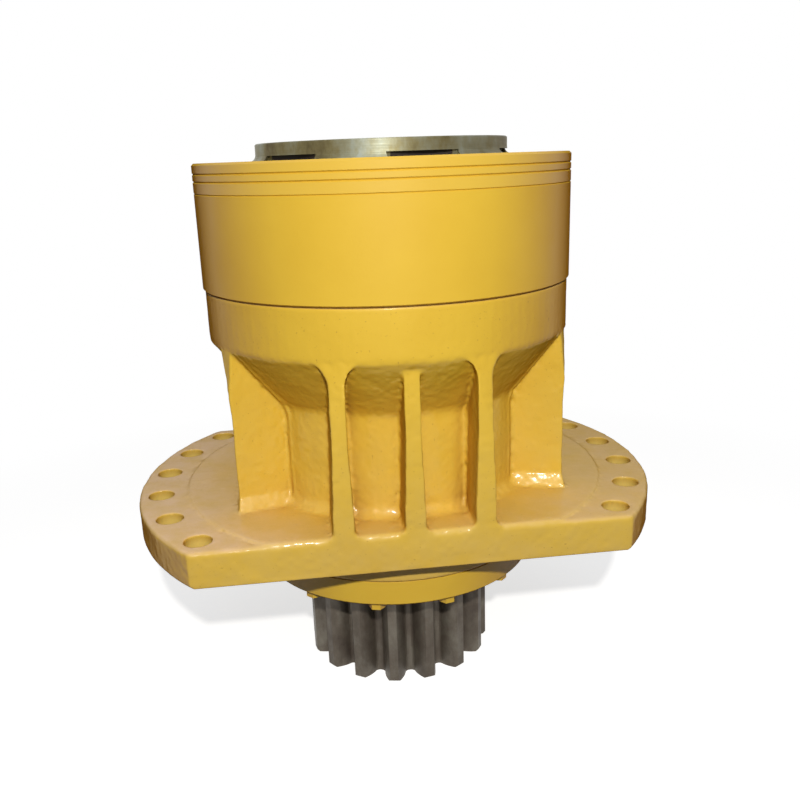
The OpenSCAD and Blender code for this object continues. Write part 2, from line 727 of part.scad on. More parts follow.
// Point at distance t along a roller's axis and n outward from it
function roller_point(ri, ro, w, t, n) = [
    roller_mid(ri, ro) + t * sin(roller_tilt) + n * cos(roller_tilt),
    w / 2 + t * cos(roller_tilt) - n * sin(roller_tilt)
];
function rib_height(ri, ro) = rib_share * roller_r(ri, ro);
function race_point(ri, ro, w, t, side, lift = 0) =
    roller_point(ri, ro, w, t, side * (roller_r(ri, ro) + t * tan(roller_taper) + race_gap) + lift);
module bearing_cup(ri, ro, w) {
    p = race_point(ri, ro, w, 0, 1);
    slope = tan(roller_tilt + roller_taper);
    h = w - cup_step;
    color(bright_steel) rotate_extrude() polygon([[ro, 0], [ro, h - 1], [ro - 1, h],
        [p[0] + (h - p[1]) * slope, h], [p[0] - p[1] * slope, 0]]);
}
module bearing_cone(ri, ro, w) {
    t = roller_len_share * w / 2 + roller_end_gap;
    small = race_point(ri, ro, w, -t, -1, rib_height(ri, ro));
    big = race_point(ri, ro, w, t, -1, rib_height(ri, ro));
    color(bright_steel) rotate_extrude() polygon([[ri, cone_step], [small[0] - 1, cone_step], small,
        race_point(ri, ro, w, -t, -1), race_point(ri, ro, w, t, -1), big, [big[0], w], [ri, w]]);
}
module rollers(ri, ro, w, grow = 0) {
    half = roller_len_share * w / 2 + grow;
    mid = roller_point(ri, ro, w, 0, 0);
    r = roller_r(ri, ro) + grow;
    ring_array(roller_n(ri, ro), mid[0]) translate([0, 0, mid[1]]) rotate([0, roller_tilt, 0])
        cylinder(r1 = r - half * tan(roller_taper), r2 = r + half * tan(roller_taper), h = 2 * half,
            center = true);
}
module bearing_cage(ri, ro, w) {
    t = roller_len_share * w / 2 + cage_end;
    color(bronze) difference() {
        rotate_extrude() polygon([for (p = [[-t, -1], [-t, 1], [t, 1], [t, -1]])
            roller_point(ri, ro, w, p[0], p[1] * cage_t / 2)]);
        rollers(ri, ro, w, cage_pocket_gap);
    }
}
// The lower bearing stands with its cup's back face upward
module lower_bearing_place() {
    translate([0, 0, lower_bearing_top]) mirror([0, 0, 1]) children();
}
module lower_bearing_cup() {
    lower_bearing_place() bearing_cup(lower_seat_r, lower_bearing_od / 2, lower_bearing_w);
}
module lower_bearing_cone() {
    lower_bearing_place() bearing_cone(lower_seat_r, lower_bearing_od / 2, lower_bearing_w);
}
module lower_bearing_rollers() {
    color(bright_steel) lower_bearing_place()
        rollers(lower_seat_r, lower_bearing_od / 2, lower_bearing_w);
}
module lower_bearing_cage() {
    lower_bearing_place() bearing_cage(lower_seat_r, lower_bearing_od / 2, lower_bearing_w);
}
module upper_bearing_place() {
    translate([0, 0, upper_seat_z]) children();
}
module upper_bearing_cup() {
    upper_bearing_place() bearing_cup(upper_seat_r, upper_bearing_od / 2, upper_bearing_w);
}
module upper_bearing_cone() {
    upper_bearing_place() bearing_cone(upper_seat_r, upper_bearing_od / 2, upper_bearing_w);
}
module upper_bearing_rollers() {
    color(bright_steel) upper_bearing_place()
        rollers(upper_seat_r, upper_bearing_od / 2, upper_bearing_w);
}
module upper_bearing_cage() {
    upper_bearing_place() bearing_cage(upper_seat_r, upper_bearing_od / 2, upper_bearing_w);
}

// Ring gear and cover
module ring_gear() {
    h = cover_z - casing_h;
    c = joint_chamfer;
    color(paint) translate([0, 0, casing_h]) difference() {
        rotate_extrude($fn = 128) polygon([[0, 0], [rim_r - c, 0], [rim_r, c],
            [rim_r, h - cover_chamfer], [rim_r - cover_chamfer, h], [0, h]]);
        translate([0, 0, -cut]) linear_extrude(height = h + 2 * cut) polygon(ring_spaces());
        translate([0, 0, h]) face_groove(o_ring_r);
        ring_array(cover_screws_n, screw_r)
            translate([0, 0, -cut]) cylinder(d = cover_screw_d + 2 * hole_gap, h = h + 2 * cut);
        for (z = [0, h]) dowel_places() translate([0, 0, z - dowel_len / 2])
            cylinder(d = dowel_d + 2 * seat_gap, h = dowel_len);
    }
}
module casing_o_ring() {
    color(seal_rubber) translate([0, 0, casing_h]) face_o_ring(o_ring_r);
}
module cover_o_ring() {
    color(seal_rubber) translate([0, 0, cover_z]) face_o_ring(o_ring_r);
}
// Outer side of the cover's rim, with its turned grooves
function rim_side() = concat(
    [[rim_r - cover_chamfer, cover_z], [rim_r, cover_z + cover_chamfer]],
    [for (g = rim_grooves) for (i = [-1, 0, 1])
        [rim_r - (i == 0 ? rim_groove_depth : 0), cover_z + g + i * rim_groove_depth]],
    [[rim_r, rim_z - rim_edge], [rim_r - rim_edge, rim_z]]
);
module cover_body() {
    r = motor_seat_d / 2;
    rotate_extrude($fn = 128) polygon(concat(
        [[cavity_r, cover_z]],
        rim_side(),
        [for (i = [0 : arc_steps]) let (t = 90 - 90 * i / arc_steps)
            [r + seat_foot_r * (1 - cos(t)), rim_z + seat_foot_r * (1 - sin(t))]],
        [[r, seat_z - seat_edge], [r - seat_edge, seat_z], [motor_bore_d / 2, seat_z],
            [motor_bore_d / 2, seat_z - motor_bore_h], [shaft_opening_r, seat_z - motor_bore_h],
            [shaft_opening_r, roof_z], [cavity_r, roof_z]]
    ));
}
module top_cover() {
    bore_r = screw_head_d / 2 + counterbore_gap;
    sink = cover_screw_d + screw_sink;
    color(paint) difference() {
        cover_body();
        ring_array(notches_n, motor_seat_d / 2 - notch_depth, notch_angle)
            translate([0, -notch_w / 2, rim_z]) cube([3 * notch_depth, notch_w, notch_h]);
        ring_array(cover_screws_n, screw_r) {
            translate([0, 0, cover_z - cut]) cylinder(d = cover_screw_d + 2 * hole_gap, h = cover_t);
            translate([0, 0, rim_z - sink]) cylinder(r = bore_r, h = sink + cut);
        }
        dowel_places() translate([0, 0, cover_z - dowel_len / 2])
            cylinder(d = dowel_d + 2 * seat_gap, h = dowel_len);
        ring_array(motor_bolts, motor_bolt_r, 180 / motor_bolts)
            translate([0, 0, seat_z - motor_tap_depth])
                cylinder(d = motor_tap_d, h = motor_tap_depth + cut);
    }
}
module cover_screws() {
    floor_z = rim_z - cover_screw_d - screw_sink;
    color(black_oxide) ring_array(cover_screws_n, screw_r) translate([0, 0, floor_z])
        socket_screw(cover_screw_d, floor_z - casing_h + screw_grip - 4);
}
module dowel_pins() {
    color(bright_steel) for (z = [casing_h, cover_z]) dowel_places()
        translate([0, 0, z]) cylinder(d = dowel_d, h = dowel_len - 1, center = true);
}
module port_place(z, r) {
    rotate([0, 0, port_angle]) translate([r + port_pad_h, 0, z]) rotate([0, 90, 0]) children();
}
module port_plug() {
    translate([0, 0, plug_washer_t]) hex_bolt(plug_d, plug_len, plug_head_h, plug_hex_r);
}
module drain_plug() {
    color(bright_steel) port_place(drain_z, neck_r) port_plug();
}
module filler_plug() {
    color(bright_steel) port_place(filler_z, band_r) port_plug();
}
module plug_washers() {
    color(bronze) for (p = [[drain_z, neck_r], [filler_z, band_r]])
        port_place(p[0], p[1]) tube(plug_washer_r, plug_d / 2 + hole_gap, plug_washer_t);
}

// Pinion shaft and what turns with it
module pinion_teeth_body() {
    r = pinion_tip_r;
    c = pinion_chamfer;
    side = flank(pinion_teeth, pinion_module, pinion_shift, gear_backlash / 2, pinion_root_r, r,
        pinion_fillet * pinion_module, pinion_steps, pinion_fillet_steps);
    translate([0, 0, pinion_z]) intersection() {
        rotate([0, 0, pinion_phase - 90]) linear_extrude(height = pinion_face)
            polygon(gear_outline(pinion_teeth, side));
        rotate_extrude($fn = 128) polygon([[0, 0], [r - c, 0], [r, c], [r, pinion_face - c],
            [r - c, pinion_face], [0, pinion_face]]);
    }
}
module pinion_shaft() {
    step_z = upper_seat_z - shaft_step;
    seat_top = upper_bearing_top + hub_relief_h - 2;
    color(pinion_steel) difference() {
        union() {
            pinion_teeth_body();
            rotate_extrude() polygon([[0, pinion_top - cut], [shoulder_r, pinion_top - cut],
                [shoulder_r, sleeve_z], [sleeve_seat_r, sleeve_z], [sleeve_seat_r, lower_bearing_z],
                [lower_seat_r, lower_bearing_z], [lower_seat_r, lower_bearing_top],
                [shaft_waist_r, lower_bearing_top + shaft_chamfer],
                [shaft_waist_r, step_z - shaft_chamfer], [upper_seat_r, step_z],
                [upper_seat_r, seat_top], [spline_root_r, seat_top], [spline_root_r, shaft_top],
                [0, shaft_top]]);
            translate([0, 0, seat_top - cut]) linear_extrude(height = shaft_top - seat_top + cut)
                polygon(spline_outline(spline_teeth, spline_root_r, spline_tip_r));
        }
        ring_array(end_bolts_n, end_bolt_r) translate([0, 0, shaft_top - end_bolt_len])
            cylinder(d = end_bolt_d + 2 * thread_gap, h = end_bolt_len + cut);
        translate([0, 0, pinion_z - cut]) cylinder(r = center_hole_r, h = 2 * center_hole_r);
    }
}
module seal_sleeve() {
    h = lower_bearing_z - sleeve_z;
    c = pinion_chamfer;
    color(bright_steel) translate([0, 0, sleeve_z]) rotate_extrude() polygon([
        [sleeve_seat_r + seat_gap, 0], [sleeve_d / 2, 0], [sleeve_d / 2, h - c],
        [sleeve_d / 2 - c, h], [sleeve_seat_r + seat_gap, h]
    ]);
}
module carrier_2_posts() {
    h = carrier_2_top_z - carrier_2_plate_top;
    translate([0, 0, carrier_2_plate_top]) difference() {
        translate([0, 0, -bury]) cylinder(r = carrier_r, h = h + 2 * bury);
        translate([0, 0, -cut]) cylinder(r = sun_2_tip_r + post_inner_gap, h = h + 2 * cut);
        planet_array(stage_2_angle, stage_2_r)
            translate([0, 0, -cut]) cylinder(r = planet_2_tip_r + planet_pocket_gap, h = h + 2 * cut);
    }
}
module carrier_2() {
    color(machined_iron) difference() {
        union() {
            rotate_extrude() polygon([[0, upper_bearing_top], [hub_nose_r, upper_bearing_top],
                [hub_nose_r, upper_bearing_top + hub_nose_h], [hub_r, upper_bearing_top + 2 * hub_nose_h],
                [hub_r, carrier_2_plate_z], [carrier_r, carrier_2_plate_z],
                [carrier_r, carrier_2_plate_top], [0, carrier_2_plate_top]]);
            translate([0, 0, carrier_2_top_z]) cylinder(r = carrier_r, h = carrier_2_top_t);
            carrier_2_posts();
        }
        translate([0, 0, carrier_2_plate_top - cut])
            cylinder(r = carrier_2_hole_r, h = carrier_2_end_z - carrier_2_plate_top + 2 * cut);
        translate([0, 0, end_plate_z]) cylinder(r = end_plate_r + hole_gap, h = carrier_2_plate_t);
        translate([0, 0, upper_bearing_top - cut])
            cylinder(r = upper_seat_r + hole_gap, h = hub_relief_h + cut);
        translate([0, 0, upper_bearing_top]) linear_extrude(height = shaft_top)
            polygon(spline_outline(spline_teeth, spline_root_r, spline_tip_r, spline_gap));
        planet_array(stage_2_angle, stage_2_r) {
            translate([0, 0, carrier_2_plate_top - pin_2_seat])
                cylinder(d = pin_2_d + 2 * seat_gap, h = carrier_2_end_z);
            lock_pin_hole();
        }
    }
}
module lock_pin_hole(length = carrier_r) {
    translate([-pin_2_d / 4, 0, carrier_2_plate_top - pin_2_seat + lock_pin_d]) rotate([0, 90, 0])
        cylinder(d = lock_pin_d + 2 * seat_gap, h = length);
}
module shaft_end_plate() {
    color(bright_steel) translate([0, 0, end_plate_z]) difference() {
        cylinder(r = end_plate_r, h = end_plate_t);
        ring_array(end_bolts_n, end_bolt_r)
            translate([0, 0, -cut]) cylinder(d = end_bolt_d + 2 * hole_gap, h = end_plate_t + 2 * cut);
    }
}
module end_plate_bolts() {
    d = end_bolt_d;
    color(black_oxide) ring_array(end_bolts_n, end_bolt_r) translate([0, 0, end_plate_z + end_plate_t])
        hex_bolt(d, end_bolt_len, head_ratio * d, hex_ratio * d / sqrt(3));
}
module stage_2_pins() {
    z = carrier_2_plate_top - pin_2_seat;
    color(bright_steel) planet_array(stage_2_angle, stage_2_r) difference() {
        translate([0, 0, z]) cylinder(d = pin_2_d, h = carrier_2_end_z - pin_end_inset - z);
        lock_pin_hole();
    }
}
module stage_2_lock_pins() {
    reach = carrier_r - stage_2_r - lock_pin_inset + pin_2_d / 4;
    color(bright_steel) planet_array(stage_2_angle, stage_2_r)
        translate([-pin_2_d / 4, 0, carrier_2_plate_top - pin_2_seat + lock_pin_d])
            rotate([0, 90, 0]) cylinder(d = lock_pin_d, h = reach);
}
module needles(first, r, pin_d, z, face) {
    color(bright_steel) planet_array(first, r)
        ring_array(needle_count(pin_d), (pin_d + needle_d + running_gap) / 2)
            translate([0, 0, z + needle_end_gap])
                cylinder(d = needle_d, h = face - 2 * needle_end_gap, $fn = 24);
}
module thrust_washers(first, r, pin_d, z, face) {
    wall = needle_d + washer_wall;
    color(bronze) planet_array(first, r) for (at = [z - washer_room, z + face + axial_gap])
        translate([0, 0, at]) tube(pin_d / 2 + wall, (pin_d + hole_gap) / 2, thrust_t);
}
module planet(sun, teeth, first, i, r, bore_r, z, face) {
    a = planet_angle(first, i);
    color(gear_steel) rotate([0, 0, a]) translate([r, 0, z])
        rotate([0, 0, planet_phase(sun, teeth, first, a) - a]) difference() {
            linear_extrude(height = face) polygon(stage_gear(teeth));
            translate([0, 0, -cut]) cylinder(r = bore_r, h = face + 2 * cut);
        }
}
module stage_1_planet(i) {
    planet(sun_1_teeth, planet_1_teeth, stage_1_angle, i, stage_1_r, bore_1_r, planet_1_z, stage_1_face);
}
module stage_2_planet(i) {
    planet(sun_2_teeth, planet_2_teeth, stage_2_angle, i, stage_2_r, bore_2_r, planet_2_z, stage_2_face);
}
module carrier_thrust_ring() {
    color(bronze) translate([0, 0, carrier_2_end_z])
        tube(thrust_ring_r + thrust_ring_w, thrust_ring_r, stage_gap - axial_gap);
}

// First carrier, with the second sun hung in it
module sun_2_outline(grow = 0) {
    rotate([0, 0, sun_phase(sun_2_teeth, planet_2_teeth, stage_2_angle)])
        polygon(stage_gear(sun_2_teeth, grow));
}
module carrier_1() {
    color(machined_iron) difference() {
        union() {
            translate([0, 0, hub_1_z]) cylinder(r = hub_1_r, h = carrier_1_top - hub_1_z);
            difference() {
                translate([0, 0, carrier_1_z]) cylinder(r = carrier_r, h = carrier_1_t);
                ring_array(planets, scallop_place_r, stage_1_angle + 180 / planets)
                    translate([0, 0, carrier_1_z - cut]) cylinder(r = scallop_r, h = carrier_1_t + 2 * cut);
            }
        }
        translate([0, 0, hub_1_z - cut]) linear_extrude(height = carrier_1_top - hub_1_z + 2 * cut)
            sun_2_outline(spline_gap);
        translate([0, 0, carrier_1_top - sun_snap_floor])
            cylinder(r = sun_snap_bore_r, h = sun_snap_floor + cut);
        translate([0, 0, hub_1_z - cut]) cylinder(r = sun_snap_bore_r, h = snap_t + 1.5 * cut);
        planet_array(stage_1_angle, stage_1_r) translate([0, 0, carrier_1_z - cut])
            cylinder(d = pin_1_d + 2 * seat_gap, h = carrier_1_t + 2 * cut);
    }
}
sun_snap_zs = [hub_1_z + cut / 2, carrier_1_top - sun_snap_floor];
module sun_gear_2() {
    color(gear_steel) difference() {
        translate([0, 0, sun_2_z]) linear_extrude(height = sun_2_top - sun_2_z) sun_2_outline();
        translate([0, 0, sun_2_z - cut]) cylinder(r = sun_2_bore_r, h = sun_2_top - sun_2_z + 2 * cut);
        for (z = sun_snap_zs) translate([0, 0, z - seat_gap])
            tube(sun_2_tip_r + cut, sun_snap_r - seat_gap, snap_t + 2 * seat_gap);
    }
}
module snap_ring(r, wall) {
    rotate([0, 0, 15]) rotate_extrude(angle = 330) translate([r, 0]) square([wall, snap_t]);
}
module sun_2_lower_snap_ring() {
    color(bright_steel) translate([0, 0, sun_snap_zs[0]]) snap_ring(sun_snap_r, sun_snap_wall);
}
module sun_2_upper_snap_ring() {
    color(bright_steel) translate([0, 0, sun_snap_zs[1]]) snap_ring(sun_snap_r, sun_snap_wall);
}
module thrust_button() {
    head = planet_1_z - axial_gap - sun_2_top;
    color(bronze) translate([0, 0, sun_2_top]) rotate_extrude() polygon([[0, -button_stem],
        [sun_2_bore_r - running_gap, -button_stem], [sun_2_bore_r - running_gap, 0],
        [button_r, 0], [button_r, head], [0, head]]);
}
module stage_1_pins() {
    z = carrier_1_z + pin_end_inset;
    groove_z = planet_1_top + washer_room;
    color(bright_steel) planet_array(stage_1_angle, stage_1_r) difference() {
        translate([0, 0, z]) cylinder(d = pin_1_d, h = groove_z + snap_t + pin_lead - z);
        translate([0, 0, groove_z - seat_gap])
            tube(pin_1_d / 2 + cut, pin_1_d / 2 - snap_depth, snap_t + 2 * seat_gap);
    }
}
module stage_1_snap_rings() {
    color(bright_steel) planet_array(stage_1_angle, stage_1_r)
        translate([0, 0, planet_1_top + washer_room])
            snap_ring(pin_1_d / 2 - snap_depth + seat_gap, snap_wall);
}
module stage_1_needles() {
    needles(stage_1_angle, stage_1_r, pin_1_d, planet_1_z, stage_1_face);
}
module stage_2_needles() {
    needles(stage_2_angle, stage_2_r, pin_2_d, planet_2_z, stage_2_face);
}
module stage_1_thrust_washers() {
    thrust_washers(stage_1_angle, stage_1_r, pin_1_d, planet_1_z, stage_1_face);
}
module stage_2_thrust_washers() {
    thrust_washers(stage_2_angle, stage_2_r, pin_2_d, planet_2_z, stage_2_face);
}
module stage_1_planet_a() {
    stage_1_planet(0);
}
module stage_1_planet_b() {
    stage_1_planet(1);
}
module stage_1_planet_c() {
    stage_1_planet(2);
}
module stage_2_planet_a() {
    stage_2_planet(0);
}
module stage_2_planet_b() {
    stage_2_planet(1);
}
module stage_2_planet_c() {
    stage_2_planet(2);
}
module sun_gear_1() {
    color(gear_steel) difference() {
        union() {
            translate([0, 0, planet_1_z]) linear_extrude(height = stage_1_face)
                rotate([0, 0, sun_phase(sun_1_teeth, planet_1_teeth, stage_1_angle)])
                    polygon(stage_gear(sun_1_teeth));
            translate([0, 0, planet_1_top - cut])
                cylinder(r = sun_1_hub_r, h = sun_1_hub_top - planet_1_top + cut);
        }
        translate([0, 0, planet_1_z + input_floor]) linear_extrude(height = sun_1_hub_top)
            polygon(spline_outline(input_teeth, input_minor_r, input_major_r));
    }
}

casing();
bearing_retainer();
retainer_bolts();
retainer_washers();
retainer_o_ring();
oil_seal();
lower_bearing_cup();
upper_bearing_cup();
ring_gear();
casing_o_ring();
top_cover();
cover_o_ring();
cover_screws();
dowel_pins();
drain_plug();
filler_plug();
plug_washers();
lower_bearing_rollers();
lower_bearing_cage();
upper_bearing_rollers();
upper_bearing_cage();
pinion_shaft();
seal_sleeve();
lower_bearing_cone();
upper_bearing_cone();
carrier_2();
shaft_end_plate();
end_plate_bolts();
stage_2_pins();
stage_2_lock_pins();
stage_2_needles();
stage_2_thrust_washers();
carrier_thrust_ring();
stage_2_planet_a();
stage_2_planet_b();
stage_2_planet_c();
carrier_1();
sun_gear_2();
sun_2_upper_snap_ring();
sun_2_lower_snap_ring();
thrust_button();
stage_1_pins();
stage_1_needles();
stage_1_thrust_washers();
stage_1_snap_rings();
stage_1_planet_a();
stage_1_planet_b();
stage_1_planet_c();
sun_gear_1();
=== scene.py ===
"""A swing motor gearbox: yellow enamelled castings, a bare motor seat and a dark steel pinion.

Every CAD node keeps its place and gets a material. The casing is shown by a skin made from its own
mesh, with the rounded edges, waves, pits and beaded fillets of a painted sand casting.
"""

import json
import math

import bpy  # noqa: E402
import numpy as np  # noqa: E402
from mathutils import Matrix, Vector  # noqa: E402


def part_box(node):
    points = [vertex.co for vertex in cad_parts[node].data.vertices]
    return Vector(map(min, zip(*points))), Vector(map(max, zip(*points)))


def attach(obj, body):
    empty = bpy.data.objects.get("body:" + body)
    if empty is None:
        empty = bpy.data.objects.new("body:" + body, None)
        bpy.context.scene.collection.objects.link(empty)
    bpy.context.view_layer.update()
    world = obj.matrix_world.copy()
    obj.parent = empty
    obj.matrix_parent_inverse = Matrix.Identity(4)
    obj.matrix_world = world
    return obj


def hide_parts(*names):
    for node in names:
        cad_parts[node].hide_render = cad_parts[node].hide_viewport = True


MM = 0.001

# Camera, found by fitting the ring gear's and the flange's outlines in the photograph
CAMERA_DISTANCE = 0.86897
CAMERA_HEIGHT = 0.36417
CAMERA_TURN = math.radians(6.085)
CAMERA_YAW = 0.0115
CAMERA_PITCH = 0.2830
CAMERA_ROLL = -0.0348
CAMERA_LENS_MM = 37.35
SENSOR_WIDTH_MM = 36

# Floor: pale where it is seen, dark to the light that bounces off it, white beyond its fade
FLOOR_Z = -0.1732
FLOOR_SIZE = 9.0
FLOOR_FADE_R = (0.45, 1.0)
FLOOR_SEEN = (0.75, 0.75, 0.75)
FLOOR_BOUNCE = (0.02, 0.02, 0.02)
FLOOR_GLOW = 0.68

# Light: the sky's by how steeply its direction rises, and one small lamp in front
SKY_LIGHT = [
    (0.0, (0.025, 0.024, 0.024)),
    (0.45, (0.09, 0.088, 0.086)),
    (1.0, (0.38, 0.39, 0.41)),
]
WHITE = (1, 1, 1)
LAMP_PLACE = (-0.08, -1.27, 0.8)
LAMP_AIM = (0, 0, 0.15)
LAMP_SIZE = 0.05
LAMP_WATTS = 16.9
LAMP_COLOUR = (1, 0.97, 0.92)

# Heights and radii of the casing that the skin and the paint go by
PAD_Z = 37 * MM
BAND_Z = 196 * MM
NECK_HOLLOW_R = 125 * MM
BAND_HOLLOW_R = 165 * MM
FLANGE_HALF_W = 178.5 * MM
HOLE_CIRCLE_R = 250 * MM
HOLE_WALL_R = 13.7 * MM
HOLE_STEP = 15  # degrees
HOLES_PER_SIDE = 6

# The turned form between the pad and the band: height and radius at its corners
TURNED_Z = (128 * MM, 139 * MM, 193 * MM, BAND_Z)
TURNED_R = (140 * MM, 142.5 * MM, 182.5 * MM, 185 * MM)

# The side columns as the photograph has them
COLUMN_REACH = 163 * MM
COLUMN_HALF_W = 96 * MM
COLUMN_TAPER = math.radians(15)
COLUMN_SWEEP_R = 480 * MM
COLUMN_SWEEP_Z = 120 * MM
COLUMN_FROM_X = 88 * MM
COLUMN_FOOT_R = 7 * MM
COLUMN_CLEAR = 1 * MM
NECK_FOOT_R = 12 * MM

# The casting's skin: voxels, softening, waves, pits and beads, each with its random seed
VOXEL = 1.15 * MM
SOFTENING_STEPS = 4
LATTICE = 48
WAVE_DEPTH = 0.45 * MM
WAVE_SIZE = 19 * MM
WAVE_SEED = 3
PIT_DEPTH = 0.22 * MM
PIT_SIZE = 5 * MM
PIT_SEED = 7
BEAD_DEPTH = 0.85 * MM
BEAD_SIZE = 6 * MM
BEAD_SEED = 11
FINE_BEAD_SHARE = 0.2
FINE_BEAD_SEED = 13
CONCAVITY_STEPS = 14
CONCAVITY_FULL = 0.35 * MM

# Where the relief is weaker: on tops whose normals rise this steeply, and on the band
LEVEL_TOP_RISE = 0.9
LEVEL_TOP_SHARE = 0.4
BAND_SHARE = 0.3
BAND_CHANGE = 9 * MM

# Where there is no relief: up to these distances from machined faces, full a margin further
MACHINED_MARGIN = 3 * MM
BOTTOM_CLEAR = 0.9 * MM
TOP_CLEAR = 1.5 * MM
HOLE_CLEAR_R = 15 * MM

# The flange's long front and back edges, rounder than the rest and fading out over a depth
SOFT_EDGE_Z = PAD_Z - 2 * MM
SOFT_EDGE_DEPTH = 9 * MM
SOFT_EDGE_REACH = 1.3  # depths, above and below
SOFT_EDGE_GAIN = 2
SOFT_EDGE_STEPS = 16

# The bare motor seat on the cover, the slots under it and the painted shade at the back of the slots
SEAT_R = 125 * MM
SEAT_FOOT = 5 * MM
RIM_TO_TOP = 16 * MM
SLOT_FLOOR_R = 121.5 * MM
SLOT_H = 4.5 * MM
SLOT_SHADE_HALF_DEPTH = 3 * MM
SLOT_SHADE_PAST_SLOT = 0.4 * MM

# Edge rounding of the turned and forged nodes
EDGE_ROUNDING = {
    "top_cover": 1.0 * MM,
    "ring_gear": 0.5 * MM,
    "bearing_retainer": 0.6 * MM,
    "retainer_bolts": 0.8 * MM,
    "retainer_washers": 0.3 * MM,
    "pinion_shaft": 0.9 * MM,
    "drain_plug": 0.8 * MM,
    "filler_plug": 0.8 * MM,
}
EDGE_SEGMENTS = 2
EDGE_ANGLE = math.radians(32)

# Yellow enamel: its colour, painted shade in crevices, the dark seam, its peel, the swells under it
# and its gloss
PAINT_DEEP = (0.70, 0.44, 0.030)
PAINT_LIGHT = (0.76, 0.50, 0.040)
PAINT_CLOUD = 120 * MM
# Brown for the painted shade in corners and grooves, also for the dark seam and for grit specks
PAINT_SHADE_AND_GRIME = (0.30, 0.135, 0.022)
CREVICE_SHADE = 0.85
CREVICE_REACH = 28 * MM
CREVICE_OPENNESS = (0.2, 0.62)
CREVICE_SAMPLES = 6
GROOVE_SHADE = 0.35
SEAM_HALF = 1.7 * MM
PEEL_SIZE = 2.6 * MM
PEEL_DEPTH = 0.07 * MM
SWELL_SIZE = 16 * MM
CAST_SWELL = 0.07 * MM
TURNED_SWELL = 0.12 * MM
COVER_SWELL = 0.1 * MM
GLOSS_PATCH_SIZE = 50 * MM
COVER_PAINT_ROUGHNESS = 0.45

# What wanders with a noise: low, high and, where given, the noise's span between them
GLOSS_PATCHES = (0.42, 0.55, (0.3, 0.75))
LOW_GREY_PATCHES = (0.35, 1.0)
GRIT = (0.0, 0.5, (0.68, 0.76))
DUST_SHEEN_PATCHES = (0.55, 1.1, (0.32, 0.62))
DUST_FLECKS = (0.0, 0.35, (0.66, 0.74))
SEAT_DARK_PATCHES = (0.5, 1.0, (0.35, 0.6))
TURNED_ROUGHNESS = (0.54, 0.68)
FORGED_STREAKS = (0.85, 1.0, (0.35, 0.65))
FORGED_ROUGHNESS = (0.6, 0.42)

# What changes with the view: seen face on and seen along the surface
ENAMEL_ROUGHNESS = (0.0, 0.85)
ENAMEL_SPECULAR = (0.3, 0.05)
ENAMEL_COAT = (0.25, 0.0)
COVER_COAT = (0.7, 0.0)

# Painted shade: enamel made browner and darker where seen along its surface, with less of that shade
# on tops and on the neck
GRAZING_SHADE = (0.66, 0.43, 0.28)
GRAZING_SPAN = (0.2, 0.92)
UP_SHADE_LOSS = 0.85
NECK_SHADE_LOSS = 0.75

# Greyer and darker low on the casting, in patches, and specks of grit
PAINT_LOW_GREY = (0.56, 0.40, 0.17)
CAST_LOW_GREY = 0.4
LOW_GREY_TOP_Z = 190 * MM
LOW_GREY_SIZE = 30 * MM
GRIT_SIZE = 2.2 * MM

# Dust and painted sheen on what faces up: tops painted lighter, more of it far out and to the left,
# with dust flecks
PAINT_DUST_AND_SHEEN = (0.86, 0.61, 0.42)
DUST_AND_SHEEN_SHARE = 0.62
LYING_SPAN = (0.35, 0.95)
DUST_SHEEN_RING_R = (0.15, 0.24)
DUST_SHEEN_RING_SHARES = (0.1, 1.0)
DUST_SHEEN_LEFT_X = (0.25, -0.25)
DUST_SHEEN_LEFT_SHARES = (0.5, 1.05)
DUST_SHEEN_PATCH_SIZE = 28 * MM
DUST_FLECK_SIZE = 3.5 * MM

# Painted light: the walls of the flange's holes painted paler, below their edges
PAINT_HOLE_WALL_LIGHT = (0.70, 0.51, 0.13)
HOLE_EDGE_Z = PAD_Z - 3 * MM
HOLE_LIP = 7 * MM

# Iron: oiled inside, stained on the motor seat, with painted black shade in its slots
OILED_IRON = (0.13, 0.12, 0.10)
OILED_METALLIC = 0.7
SEAT_IRON = [
    (0.3, (0.12, 0.095, 0.045)),
    (0.45, (0.25, 0.225, 0.12)),
    (0.58, (0.32, 0.33, 0.25)),
    (0.75, (0.40, 0.46, 0.45)),
]
# Darker toward the right of the motor seat, in patches
SEAT_DARKER_RIGHT = (0.11, 0.09, 0.05)
SEAT_DARKER_RIGHT_SHARE = 0.8
SEAT_DARK_PATCH_SIZE = 50 * MM
SEAT_STAIN_SIZE = 35 * MM
# Black painted shade at the back of the slots under the seat
SLOT_SHADE_BLACK = (0.018, 0.012, 0.008)
RAGGED_SIZE = 12 * MM
RAGGED_REACH = 3 * MM
TURNED_LINES = 0.6 * MM

# Steel and rubber
FORGED_STEEL = [
    (0.3, (0.08, 0.061, 0.047)),
    (0.5, (0.125, 0.104, 0.08)),
    (0.7, (0.20, 0.18, 0.145)),
]
FORGED_STAIN_SIZE = 30 * MM
FORGED_STREAK_SIZE = 6 * MM
FORGED_PIT_SIZE = 1.8 * MM
FORGED_PIT_DEPTH = 0.05 * MM
STEEL_CLOUD = 50 * MM
STEEL_GRAIN = 4 * MM
STEEL_GRAIN_DEPTH = 0.03 * MM
RUBBER_CLOUD = 6 * MM
RUBBER_GREYS = (0.008, 0.02)

# Where most of a noise's values lie, and the span from squarely to glancingly seen
NOISE_SPAN = (0.3, 0.7)
GLANCE_SPAN = (0.35, 0.85)


# Node helpers; a value is an output, a number or a colour


def new_material(name):
    mat = bpy.data.materials.new(name)
    mat.use_nodes = True
    tree = mat.node_tree
    return mat, tree, tree.nodes["Principled BSDF"]


def feed(tree, value, socket):
    """value: an output, a number or a colour."""
    if isinstance(value, bpy.types.NodeSocket):
        tree.links.new(value, socket)
    elif isinstance(value, tuple):
        socket.default_value = (*value, 1)
    else:
        socket.default_value = value


